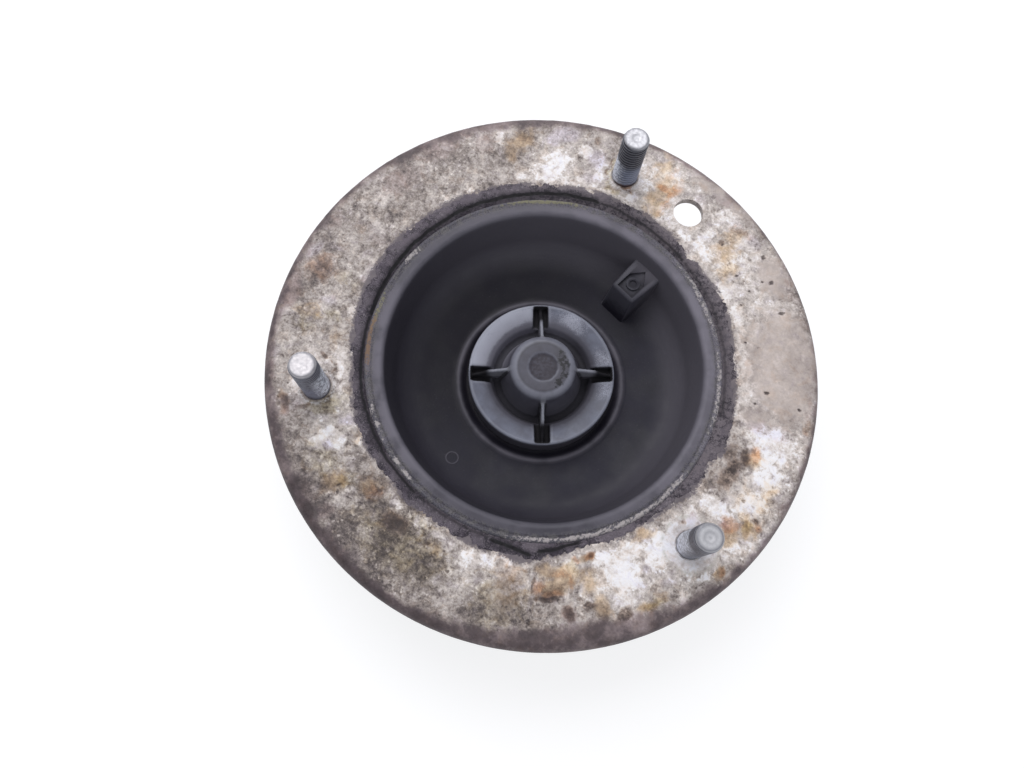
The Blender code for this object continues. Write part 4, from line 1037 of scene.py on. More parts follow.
def makeCoatFilm():
    s, f = coatSettings, flangeSettings
    top, bend = mount["flangeTop"], f["mouthBend"]
    path = roundedPath([(80.0 * mm, top, 0.0), (mount["mouthRadius"], top, bend),
                        (coneRadius(top - 12 * mm, 0.0), top - 12 * mm, 0.0)], False, math.radians(5.0))
    radii = np.array([p.x for p in path])[::-1]
    heights = np.array([p.y for p in path])[::-1]
    angles = np.arange(s["sides"]) * math.tau / s["sides"]
    ring = np.stack([57 * mm * np.cos(angles), 57 * mm * np.sin(angles), np.zeros(len(angles))], -1)
    outer = followPath(coatEdgePath, angles) * mm
    for size, seed, swing in (
        (5.0 * mm, 41, 2.0 * mm), (1.5 * mm, 42, 1.5 * mm), (0.55 * mm, 45, 1.1 * mm),
    ):
        outer += (layeredNoise(ring, size, seed, 2) - 0.5) * swing
    share = np.linspace(0.0, 1.0, s["rows"])
    radius = s["innerRadius"] + (outer[:, None] - s["innerRadius"]) * share[None, :]
    base = np.interp(radius, radii, heights)
    slope = (
        (np.interp(radius + 0.05 * mm, radii, heights) - np.interp(radius - 0.05 * mm, radii, heights))
        / (0.1 * mm)
    )
    lean = 1.0 / np.sqrt(1.0 + slope**2)
    normal = np.stack([-slope * lean, lean], -1)
    cosine, sine = np.cos(angles)[:, None], np.sin(angles)[:, None]
    flat = np.stack([radius * cosine, radius * sine, 0 * radius], -1).reshape(-1, 3)
    bump = layeredNoise(flat, 1.4 * mm, 43, 4).reshape(radius.shape)
    thick = s["thickness"] * (0.55 + 0.9 * bump) * smoothStep(1.0, 0.8, share)[None, :] + 0.008 * mm
    sheets = []
    for offset in (thick, np.full_like(thick, -s["sunk"])):
        r = radius + normal[..., 0] * offset
        z = base + normal[..., 1] * offset
        sheets.append(np.stack([r * cosine, r * sine, z], -1))
    count, rows = s["sides"], s["rows"]
    points = np.concatenate([sheets[0], sheets[1][:, ::-1]], 1).reshape(-1, 3)
    loop = 2 * rows
    faces = []
    for i in range(count):
        here, following = i * loop, (i + 1) % count * loop
        for k in range(loop):
            m = (k + 1) % loop
            faces.append((here + k, following + k, following + m, here + m))
    film = meshObject("coatFilm", points, faces)
    spots, normals, radius, turn = measured(film)
    sway = (layeredNoise(spots * np.array([1.0, 1.0, 0.0]), 3.0 * mm, 44) - 0.5) * 0.7 * mm
    swayed = spots * (1.0 + sway / radius)[:, None]
    crack = seamField(swayed, filmCracks, s["crackWidth"])
    setPoints(film, spots - normals * (crack * s["crackDepth"])[:, None])
    # The film lighter towards 42°
    sideLighter = lobe(turn, 42.0, -0.1, 0.8)
    skirt = seamField(swayed, filmCracks, s["skirtWidth"])
    paint(film, "filmFields", skirt, crack, sideLighter)
    return film


def makeCoatMaterial():
    material, tree, shader, coords = newMaterial("blackBondingCoat", roughness=0.7, Specular_IOR_Level=0.3)
    grain = grainAt(tree, coords, 1.1 * mm)
    fields = paintedField(tree, "filmFields")
    tone = layered(tree, tint(38, 32, 41), [
        (fade(tree, grain["Middle"], 0.4, 0.6), tint(79, 72, 81)),
        (fade(tree, grain["Fine"], 0.52, 0.66, 0.0, 0.7), tint(126, 118, 126)),
        (fade(tree, grain["Coarse"], 0.48, 0.58, 0.0, 0.6), tint(102, 94, 102)),
        (fade(tree, grain["Coarse"], 0.46, 0.36, 0.0, 0.5), tint(40, 33, 43)),
        # film lighter towards 42°
        (times(tree, fields[2], fade(tree, grain["Middle"], 0.4, 0.6, 0.05, 0.5)), tint(110, 102, 105)),
    ])
    specks = specksAt(tree, coords, 0.9 * mm, 5.0 * mm)
    tone = layered(tree, tone, [
        (times(tree, specks["Light"], 0.35), tint(150, 143, 148)),
        (times(tree, fields[0], fade(tree, grain["Middle"], 0.3, 0.6, 0.95, 0.6)), tint(29, 24, 32)),
    ])
    crack = fade(tree, fields[1], 0.15, 0.85)
    tone = mixColour(tree, crack, tone, tint(14, 11, 16))
    rough = fade(tree, grain["Middle"], 0.3, 0.7, 0.6, 0.85)
    height = plus(tree, grain["Middle"], times(tree, grain["Fine"], 0.5))
    height = minus(tree, height, crack)
    dress(tree, shader, tone, rough, height, 0.12 * mm, 0.8)
    return material


coatFilm = makeCoatFilm()
finish(coatFilm, makeCoatMaterial(), "mount", "rubber_cone")
print("coat film", len(coatFilm.data.polygons))


# Rubber cone with its moulded block

rubberSettings = {
    "wall": 5.0 * mm,
    "lipTop": 40.2 * mm,
    "bowlFloor": 23.0 * mm,
    "sides": 300,
    "step": 0.9 * mm,
    "blockAngle": math.radians(67.0),
    "blockTop": 34.0 * mm,
    "blockStart": 34.7 * mm,
    "ventAngle": math.radians(-114.0),
    "ventRadius": 37.5 * mm,
    "ventSize": 1.85 * mm,
}


def makeBlockShape():
    s = rubberSettings
    foot, top = 19.0 * mm, s["blockTop"]
    corners = []
    for height, grow, draft in ((foot, 0.5 * mm, 2.6 * mm), (top, 0.0, 0.0)):
        inner, outer = s["blockStart"] - draft, coneRadius(height, 2.5 * mm)
        innerHalf, outerHalf = 4.3 * mm + grow, 5.3 * mm + grow
        corners += [
            (inner, -innerHalf, height), (outer, -outerHalf, height), (outer, outerHalf, height),
            (inner, innerHalf, height),
        ]
    shape = bmesh.new()
    v = [shape.verts.new(corner) for corner in corners]
    shape.faces.new((v[3], v[2], v[1], v[0]))
    shape.faces.new((v[4], v[5], v[6], v[7]))
    for i in range(4):
        j = (i + 1) % 4
        shape.faces.new((v[i], v[j], v[j + 4], v[i + 4]))
    soft = [edge for edge in shape.edges if not all(vert.co.z == foot for vert in edge.verts)
            and not all(vert.co.x > s["blockStart"] + 0.3 * mm for vert in edge.verts)]
    bmesh.ops.bevel(shape, geom=soft, offset=0.9 * mm, segments=5, profile=0.5, affect="EDGES")
    return turnedShape(shape, s["blockAngle"])


def makeRubber():
    s, fit = rubberSettings, mount["fit"]
    floor = mount["moatFloor"]
    moat = mount["neckRadius"] + 5.0 * mm
    cupFloor, cupBottom = 16.0 * mm, 13.5 * mm
    step = moat + 6.0 * mm
    lipEdge = coneRadius(cupFloor, 0.0) - 5.5 * mm - fit
    hubSide, neckSide = mount["hubRadius"] + fit, mount["neckRadius"] + fit
    shoulder = floor - 1.5 * mm
    corners = [
        (neckSide, floor, 0.0),
        (moat - 2.4 * mm, floor, 1.6 * mm),
        (moat - 0.1 * mm, floor + 1.45 * mm, 0.9 * mm),
        (moat + 1.8 * mm, floor + 1.15 * mm, 1.6 * mm),
        (step + 1.5 * mm, floor + 2.3 * mm, 4.0 * mm),
        (coneRadius(s["bowlFloor"], s["wall"]), s["bowlFloor"], 9.0 * mm),
        (coneRadius(s["lipTop"], s["wall"]) + 0.1 * mm, s["lipTop"], 3.2 * mm),
        (50.9 * mm, s["lipTop"] - 0.3 * mm, 1.5 * mm),
        (51.5 * mm, s["lipTop"] - 0.75 * mm, 0.5 * mm),
        (52.5 * mm, s["lipTop"] - 0.45 * mm, 0.6 * mm),
        (53.3 * mm, s["lipTop"] - 1.0 * mm, 0.4 * mm),
        (coneRadius(36.0 * mm, fit), 36.0 * mm, 0.0),
        (coneRadius(cupFloor + fit, fit), cupFloor + fit, 2.0 * mm),
        (lipEdge, cupFloor + fit, 0.0),
        (lipEdge, cupBottom, 0.4 * mm),
        (35.8 * mm, 10.8 * mm, 4.0 * mm),
        (32.4 * mm, 2.8 * mm, 0.4 * mm),
        (hubSide, 2.8 * mm, 1.5 * mm),
        (hubSide, shoulder, 0.4 * mm),
        (neckSide, shoulder, 0.0),
    ]
    path = finer(roundedPath(corners, True, math.radians(8.0)), s["step"], True)
    points, faces = spun(path, s["sides"])
    rubber = meshObject("rubberCone", points, faces)
    join(rubber, makeBlockShape(), solver="MANIFOLD")
    top, start, half = s["blockTop"], s["blockStart"], 3.0 * mm
    panel = [
        (start + 1.1 * mm, -half), (start + 6.6 * mm, -half), (start + 10.6 * mm, 0.0),
        (start + 6.6 * mm, half), (start + 1.1 * mm, half),
    ]
    panel = prismShape(panel, top - 0.85 * mm, top + 1.0 * mm)
    cut(rubber, turnedShape(panel, s["blockAngle"]), solver="MANIFOLD")
    centre = (start + 4.9 * mm, 0.0)
    dot = prismShape(circlePoints(2.1 * mm, 40, centre), top - 1.2 * mm, top - 0.2 * mm)
    join(rubber, turnedShape(dot, s["blockAngle"]), solver="MANIFOLD")
    well = prismShape(circlePoints(1.15 * mm, 32, centre), top - 0.6 * mm, top + 1.0 * mm)
    cut(rubber, turnedShape(well, s["blockAngle"]), solver="MANIFOLD")
    creased(rubber, 40.0)
    points, normals, radius, turn = measured(rubber)
    inside = (
        smoothStep(27.5 * mm, 29.0 * mm, radius) * smoothStep(0.05, 0.2, normals[:, 2])
        * smoothStep(19 * mm, 20 * mm, points[:, 2])
    )
    block = (points[:, 2] > 25 * mm) & (radius < 42.5 * mm)
    wave = 0.5 + 0.5 * np.sin(radius / (0.9 * mm) * math.tau / 2)
    rise = (layeredNoise(points, 6.0 * mm, 51) - 0.5) * 0.14 * mm + (wave - 0.5) * 0.012 * mm
    rise = np.where(block, 0.0, rise * inside)
    dents = smoothStep(0.62, 0.75, layeredNoise(points, 1.2 * mm, 53)) * 0.12 * mm
    onLip = smoothStep(39.4 * mm, 40.0 * mm, points[:, 2]) * smoothStep(0.2, 0.6, normals[:, 2])
    rise = rise * (1.0 - onLip) - dents * onLip
    setPoints(rubber, points + normals * rise[:, None])
    paintEdges(rubber, 1.0)
    olive = [(112, 52.2, 14, 3.0, 0.75), (186, 52.2, 7, 3.0, 0.6)]
    orange = [(197, 52.0, 8, 3.0, 0.75), (191, 52.4, 4, 3.0, 0.6)]
    white = [
        (163, 52.2, 3, 3.0, 0.7), (230, 52.2, 16, 3.0, 0.16), (219, 51.8, 1.5, 0.8, 1.2),
        (224.5, 51.9, 1.0, 0.8, 1.2), (238, 51.9, 1.2, 0.8, 1.2), (243.5, 52, 1.5, 0.8, 1.0),
        (292, 52.2, 10, 3.0, 0.6), (306, 52.2, 10, 3.0, 0.72), (322, 52.2, 10, 3.0, 0.7),
        (335, 52.3, 7, 3.0, 0.6), (12, 52.4, 16, 3.0, 0.45), (45, 52.4, 14, 3.0, 0.5),
    ]
    still = [0.0, 0.0]
    paint(
        rubber,
        "residue",
        stainField(points, olive, still),
        stainField(points, orange, still),
        stainField(points, white, still),
    )
    # Painted highlight: the lip lighter towards 35° and 212°, and the bead round the moat lighter
    glow = 0.35 + 0.65 * np.maximum(lobe(turn, 35.0, -0.1, 0.9), 0.7 * lobe(turn, 212.0, 0.55, 0.98))
    lipHighlight = smoothStep(46.8 * mm, 48.6 * mm, radius) * smoothStep(37 * mm, 39.5 * mm, points[:, 2]) * glow
    # Painted light: the bowl wall made lighter, most towards 60°
    wall = np.where(block, 0.0, smoothStep(35.0 * mm, 46.5 * mm, radius) * inside)
    bead = (
        smoothStep(1.3 * mm, 0.2 * mm, np.abs(radius - moat)) * smoothStep(0.3, 0.7, normals[:, 2]) * 0.55
    )
    paint(rubber, "bowlFields", smoothStep(50.0 * mm, 51.2 * mm, radius), np.maximum(lipHighlight, bead), wall)
    paint(
        rubber,
        "shadeFields",
        smoothStep(moat - 0.6 * mm, moat - 2.2 * mm, radius),
        # painted light on the bowl wall, strongest towards 60°
        lobe(turn, 60.0, -0.9, 0.95),
        lobe(turn, 155.0, -0.5, 0.9),
    )
    return rubber


def makeRubberMaterial():
    material, tree, shader, coords = newMaterial("agedBlackRubber", roughness=0.55, Specular_IOR_Level=0.22)
    grain = grainAt(tree, coords, 1.4 * mm)
    dust = dustAt(tree, coords, 0.4, 9.0 * mm)
    wear = wearAt(tree, coords, 1.5 * mm, 0.2)
    residue = paintedField(tree, "residue")
    fields = paintedField(tree, "bowlFields")
    tone = mixColour(tree, fade(tree, grain["Coarse"], 0.3, 0.7), tint(28, 26, 36), tint(37, 35, 46))
    shades = paintedField(tree, "shadeFields")
    dust = times(tree, dust, timesPlus(tree, shades[2], -0.7, 1.0))
    tone = layered(tree, tone, [
        (dust, tint(48, 47, 57)),
        (times(tree, shades[2], 0.7), tint(15, 12, 21)),
        # painted light on the bowl wall, lighter towards 60°
        (fields[2], mixColour(tree, shades[1], tint(48, 46, 54), tint(84, 81, 89))),
        (times(tree, shades[0], 0.4), tint(26, 23, 30)),
        (times(tree, wear["Rubbed"], 0.35), tint(88, 87, 96)),
        (fade(tree, grain["Fine"], 0.66, 0.78, 0.0, 0.3), tint(96, 94, 98)),
    ])
    tone = layered(tree, tone, [
        # painted highlight on the lip and on the bead round the moat
        (times(tree, fields[1], fade(tree, grain["Coarse"], 0.35, 0.6, 0.4, 1.0)), tint(112, 108, 118)),
        (times(tree, fields[0], fade(tree, grain["Middle"], 0.46, 0.58, 0.05, 0.75)), tint(98, 95, 96)),
        (times(tree, fields[0], fade(tree, grain["Fine"], 0.5, 0.4, 0.0, 0.6)), tint(46, 42, 48)),
    ])
    s = rubberSettings
    ventPlace = polar(s["ventRadius"], s["ventAngle"])
    place3 = put(tree, "ShaderNodeSeparateXYZ", {0: coords}).outputs
    reach = put(tree, "ShaderNodeCombineXYZ", {"X": place3["X"], "Y": place3["Y"]}).outputs[0]
    radius = vectorNode(tree, "LENGTH", {0: reach}, "Value")
    wander = times(tree, minus(tree, grain["Coarse"], 0.5), 2.2 * mm)
    away = mathNode(tree, "ABSOLUTE", minus(tree, plus(tree, radius, wander), 52.3 * mm))
    crumbs = noiseNode(tree, coords, 0.8 * mm, 4.0, 0.7)
    kinds = [
        (tint(124, 120, 96), 0.9 * mm, 3.0),
        (tint(122, 98, 80), 1.1 * mm, 2.6),
        (tint(164, 157, 157), 1.1 * mm, 3.6),
    ]
    for index, (colour, width, ragged) in enumerate(kinds):
        field = times(tree, residue[index], fade(tree, away, width, width * 0.3))
        tone = stained(tree, field, crumbs, ragged, 0.22, under=tone, colour=colour)["Colour"]
    vent = put(tree, "ShaderNodeCombineXYZ", {"X": ventPlace[0], "Y": ventPlace[1]}).outputs[0]
    ventAway = minus(tree, vectorNode(tree, "DISTANCE", {0: reach, 1: vent}, "Value"), s["ventSize"])
    ventRing = fade(tree, mathNode(tree, "ABSOLUTE", ventAway), 0.38 * mm, 0.1 * mm)
    tone = mixColour(tree, times(tree, ventRing, 0.55), tone, tint(84, 81, 90))
    rough = fade(tree, grain["Coarse"], 0.3, 0.7, 0.48, 0.66)
    height = plus(tree, grain["Middle"], times(tree, grain["Fine"], 0.35))
    height = timesPlus(tree, ventRing, 3.0, height)
    dress(tree, shader, tone, rough, height, 0.06 * mm, 0.7)
    return material


rubberCone = makeRubber()
finish(rubberCone, makeRubberMaterial(), "mount", "rubber_cone", "rubber_cone")
print("rubber cone", len(rubberCone.data.polygons))


# Studs: turned blanks whose thread is cut by a Geometry Nodes tree

studSettings = {
    "radius": 4.0 * mm,
    "headRadius": 6.5 * mm,
    "head": 2.0 * mm,
    "chamfer": 0.8 * mm,
    "faceRadius": 3.45 * mm,
    "dimple": 1.5 * mm,
    "sides": 72,
    "rowStep": 0.16 * mm,
    "pitch": 1.25 * mm,
    "threadStart": 2.0 * mm,
    "oxideHighlightSide": (195.0, 20.0, 190.0),  # the side with white oxide and a painted highlight, in degrees
    "oxideHighlightHeight": (44.0 * mm, 48.0 * mm, 47.0 * mm),
    "turnedFace": (0.3, 0.12, 0.5),  # how clearly the end face shows its turning rings
}


def endTree(tree, geometry, material, end):
    real = put(tree, "GeometryNodeRealizeInstances", {"Geometry": geometry}).outputs[0]
    values = {"Geometry": real, "Material": material}
    feed(tree, end, put(tree, "GeometryNodeSetMaterial", values).outputs[0])


def makeThreadTree():
    inputs = {
        "Geometry": "Geometry",
        "Pitch": 1.25 * mm,
        "Depth": 0.4 * mm,
        "Low": 42.0 * mm,
        "High": 61.0 * mm,
        "Axis X": 0.0,
        "Axis Y": 0.0,
        "Finish": "Material",
    }
    tree, ins, ends = newGroup("threadCutter", inputs, {"Geometry": "Geometry"}, "GeometryNodeTree")
    position = put(tree, "GeometryNodeInputPosition").outputs[0]
    x, y, z = put(tree, "ShaderNodeSeparateXYZ", {0: position}).outputs
    dx = minus(tree, x, ins["Axis X"])
    dy = minus(tree, y, ins["Axis Y"])
    turn = over(tree, mathNode(tree, "ARCTAN2", dy, dx), math.tau)
    rise = over(tree, z, ins["Pitch"])
    phase = mathNode(tree, "FRACT", minus(tree, rise, turn))
    ridge = mathNode(tree, "ABSOLUTE", minus(tree, phase, 0.5))
    groove = fade(tree, ridge, 0.08, 0.46, 0.0, 1.0)
    low, high, pitch = ins["Low"], ins["High"], ins["Pitch"]
    lowFade = fade(tree, z, minus(tree, low, pitch), plus(tree, low, pitch))
    highFade = fade(tree, z, plus(tree, high, 0.1 * mm), minus(tree, high, 0.5 * mm))
    radius = mathNode(tree, "SQRT", plus(tree, times(tree, dx, dx), times(tree, dy, dy)))
    onShank = fade(tree, radius, 2.4 * mm, 3.2 * mm)
    depth = times(tree, times(tree, groove, ins["Depth"]), times(tree, lowFade, highFade), onShank)
    back = over(tree, times(tree, depth, -1.0), larger(tree, radius, 0.1 * mm))
    parts = {"X": times(tree, dx, back), "Y": times(tree, dy, back)}
    offset = put(tree, "ShaderNodeCombineXYZ", parts).outputs[0]
    values = {"Geometry": ins["Geometry"], "Offset": offset}
    endTree(tree, put(tree, "GeometryNodeSetPosition", values).outputs[0], ins["Finish"], ends[0])
    return tree


def applyTree(item, tree, values):
    modifier = item.modifiers.new(tree.name, "NODES")
    modifier.node_group = tree
    for entry in tree.interface.items_tree:
        if entry.item_type == "SOCKET" and entry.in_out == "INPUT" and entry.name in values:
            modifier[entry.identifier] = values[entry.name]
    return bakeModifiers(item)


def makeStud(number, angle, tree, material, threadDepth, dimpleDepth):
    s = studSettings
    top = studHigh.z
    headTop = mount["flangeTop"] - flangeSettings["sheet"] - mount["fit"]
    r = s["radius"]
    corners = [
        (0.0, headTop - s["head"], 0.0),
        (s["headRadius"], headTop - s["head"], 0.3 * mm),
        (s["headRadius"], headTop, 0.3 * mm),
        (r, headTop, 0.0),
        (r, top - s["chamfer"] - 0.45 * mm, 0.15 * mm),
        (r - 0.16 * mm, top - s["chamfer"] - 0.2 * mm, 0.1 * mm),
        (r - 0.05 * mm, top - s["chamfer"], 0.15 * mm),
        (s["faceRadius"], top, 0.3 * mm),
        (s["dimple"], top - 0.03 * mm, 0.3 * mm),
        (s["dimple"] / 2, top - dimpleDepth, 0.3 * mm),
        (0.0, top - dimpleDepth, 0.0),
    ]
    shank = lambda p: s["rowStep"] if p.x > 3.8 * mm and p.y > headTop else 0.5 * mm
    path = finer(roundedPath(corners, False, math.radians(20.0)), shank)
    points, faces = spun(path, s["sides"], False)
    x, y = polar(mount["studCircle"], angle)
    stud = meshObject(f"stud{number}", points + np.array([x, y, 0.0]), faces)
    values = {
        "Pitch": s["pitch"],
        "Depth": threadDepth,
        "Low": mount["flangeTop"] + s["threadStart"],
        "High": top - s["chamfer"] * 0.4,
        "Axis X": x,
        "Axis Y": y,
        "Finish": material,
    }
    applyTree(stud, tree, values)
    points, normals, _, _ = measured(stud)
    dents = -smoothStep(0.55, 0.8, layeredNoise(points, 1.0 * mm, 60 + number)) * 0.09 * mm
    outer = np.hypot(points[:, 0] - x, points[:, 1] - y) > 3.0 * mm
    setPoints(stud, points + normals * (dents * outer)[:, None])
    creased(stud, 50.0)
    paintEdges(stud, 0.35)
    rel = vectorsOf(stud, "co") - np.array([x, y, 0.0])
    face = smoothStep(top - 0.9 * mm, top - 0.25 * mm, rel[:, 2])
    turn = np.arctan2(rel[:, 1], rel[:, 0])
    crevice = smoothStep(mount["flangeTop"] + 1.6 * mm, mount["flangeTop"] + 0.2 * mm, rel[:, 2])
    crevice = crevice * (lobe(turn, 286.0, 0.2, 0.9) if number == 1 else 0.3)
    crevice = np.where(rel[:, 2] < mount["flangeTop"] - 0.8 * mm, 0.42, crevice)
    paint(stud, "studFields", face, crevice, smoothStep(47 * mm, 52 * mm, rel[:, 2]))
    # White oxide and a painted highlight down one side of the shank
    oxideAndHighlight = (
        lobe(turn, s["oxideHighlightSide"][number - 1], 0.1, 0.95)
        * smoothStep(4.1 * mm, 3.0 * mm, np.abs(rel[:, 2] - s["oxideHighlightHeight"][number - 1]) * 0.5)
    )
    reach = np.hypot(rel[:, 0], rel[:, 1])
    faceEdge = smoothStep(2.8 * mm, 3.3 * mm, reach) * smoothStep(3.8 * mm, 3.4 * mm, reach)
    ragged = reach + (layeredNoise(rel, 0.9 * mm, 80) - 0.5) * 0.7 * mm
    turned = (0.5 + 0.5 * np.cos(ragged / (1.5 * mm) * math.tau)) * face * s["turnedFace"][number - 1]
    paint(stud, "studFilm", oxideAndHighlight, faceEdge * face, turned)
    return stud


def makeStudMaterial(name, faceTone, shankTone, topTone):
    material, tree, shader, coords = newMaterial(name, roughness=0.5, metallic=0.4)
    grain = grainAt(tree, coords, 0.8 * mm)
    wear = wearAt(tree, coords, 1.0 * mm, 0.25)
    fields = paintedField(tree, "studFields")
    film = paintedField(tree, "studFilm")
    # white oxide and a painted highlight on one side of the shank
    oxideAndHighlight = times(tree, film[0], fade(tree, grain["Middle"], 0.38, 0.56, 0.3, 1.0))
    tone = layered(tree, shankTone, [
        (fade(tree, grain["Middle"], 0.35, 0.65, 0.0, 0.35), tint(150, 156, 174)),
        (times(tree, fields[2], 0.95), topTone),
        (oxideAndHighlight, tint(222, 225, 236)),
        # darker in concave corners
        (times(tree, wear["CornerDark"], 0.8), tint(56, 54, 62)),
        (times(tree, wear["Rubbed"], 0.3), tint(182, 186, 196)),
    ])
    face = layered(tree, faceTone, [
        (fade(tree, grain["Middle"], 0.36, 0.66, 0.0, 0.3), tint(170, 168, 174)),
        (film[2], tint(138, 137, 143)),
    ])
    tone = layered(tree, tone, [
        (fields[0], face),
        (times(tree, film[1], 0.7), tint(112, 112, 120)),
    ])
    rust = tint(80, 54, 42)
    tone = stained(tree, fields[1], grain["Middle"], 0.8, 0.25, under=tone, colour=rust)["Colour"]
    rough = fade(tree, grain["Middle"], 0.3, 0.7, 0.36, 0.6)
    height = plus(tree, times(tree, grain["Middle"], 0.6), times(tree, grain["Fine"], 0.4))
    dress(tree, shader, tone, rough, height, 0.1 * mm, 0.6)
    return material


threadTree = makeThreadTree()
# Name, end face, shank, upper shank, thread depth, dimple depth
# The tones differ from stud to stud partly as real corrosion and partly as painted reflection: the third
# stud's end face is painted darker
studFinishes = [
    ("studZincBright", tint(206, 205, 210), tint(112, 118, 140), tint(38, 33, 40), 0.34 * mm, 0.24 * mm),
    ("studZincPale", tint(208, 203, 206), tint(104, 103, 121), tint(98, 98, 108), 0.22 * mm, 0.06 * mm),
    ("studZincDull", tint(192, 191, 195), tint(120, 120, 130), tint(104, 102, 110), 0.12 * mm, 0.16 * mm),
]
for index, angle in enumerate(mount["studAngles"]):
    material = makeStudMaterial(*studFinishes[index][:4])
    stud = makeStud(index + 1, angle, threadTree, material, *studFinishes[index][4:])
    finish(stud, material, "mount", "stud", f"stud_{index + 1}")
print("studs with helical thread")


# Dust cap: moulded shell with a domed middle, a trough, four ribs and their pockets

capSettings = {
    "wall": 1.5 * mm,
    "bottom": capLow.z,
    "radius": capHigh.x,
    "rim": 27.5 * mm,
    "rimRound": 0.6 * mm,
    "dish": 1.3 * mm,
    "annulus": 6.8 * mm,
    "troughDepth": 5.5 * mm,
    "troughWidth": 3.1 * mm,
    "domeTop": capHigh.z,
    "domeShoulder": 9.9 * mm,
    "domeRound": 2.6 * mm,
    "dial": 4.25 * mm,
    "pocketAngle": math.radians(23.0),
    "pocketWidth": 4.7 * mm,
    "pocketRim": 0.9 * mm,
    "pocketFloor": 22.7 * mm,
    "rib": 1.0 * mm,
    "ribStart": 4.95 * mm,
    "ribSlope": ((18.9 * mm, 7.4 * mm), (16.6 * mm, 4.9 * mm)),  # radius, and drop below the dome
    "ribEndDrop": 9.4 * mm,
    "ribTopDrop": 1.0 * mm,
    "sides": 160,
    "voxel": 0.34 * mm,
}


def capSkin(inset):
    s = capSettings
    inner = s["radius"] - s["annulus"]
    floor = s["rim"] - s["troughDepth"]
    middle = inner - 0.7 * mm - s["troughWidth"] / 2
    skin = [
        (s["radius"], s["bottom"], 0.0),
        (s["radius"], s["rim"], s["rimRound"]),
        (inner + 1.4 * mm, s["rim"] - s["dish"], 1.6 * mm),
        (inner, s["rim"] - s["dish"] - 0.9 * mm, 1.6 * mm),
        (middle + 1.0 * mm, floor, 1.6 * mm),
        (middle - 0.8 * mm, floor, 1.6 * mm),
        (s["domeShoulder"] + 0.9 * mm, s["rim"] + 2.4 * mm, 4.0 * mm),
        (s["domeShoulder"] - 0.2 * mm, s["domeTop"], s["domeRound"]),
        (0.0, s["domeTop"], 0.0),
    ]
    return besidePath(skin, inset) if inset else skin


def capPocket(wall):
    s = capSettings
    start = s["radius"] - s["annulus"] - s["troughWidth"] / 2 - wall
    end = s["radius"] - s["pocketRim"] + wall
    half = s["pocketWidth"] / 2 + wall
    outline = [(start, -half), (end, -half), (end, half), (start, half)]
    return prismShape(outline, s["pocketFloor"] + s["wall"] - wall, s["rim"] + s["wall"])


def capRib():
    s = capSettings
    low = s["rim"] - s["troughDepth"] - 0.3 * mm
    end = s["radius"] - s["pocketRim"] + 0.3 * mm
    outline = [(s["ribStart"], low), (end, low), (end, s["domeTop"] - s["ribEndDrop"])]
    outline += [(radius, s["domeTop"] - drop) for radius, drop in s["ribSlope"]]
    outline.append((s["ribStart"], s["domeTop"] - s["ribTopDrop"]))
    return turnedShape(prismShape(outline, -s["rib"] / 2, s["rib"] / 2), math.pi / 2, "X")


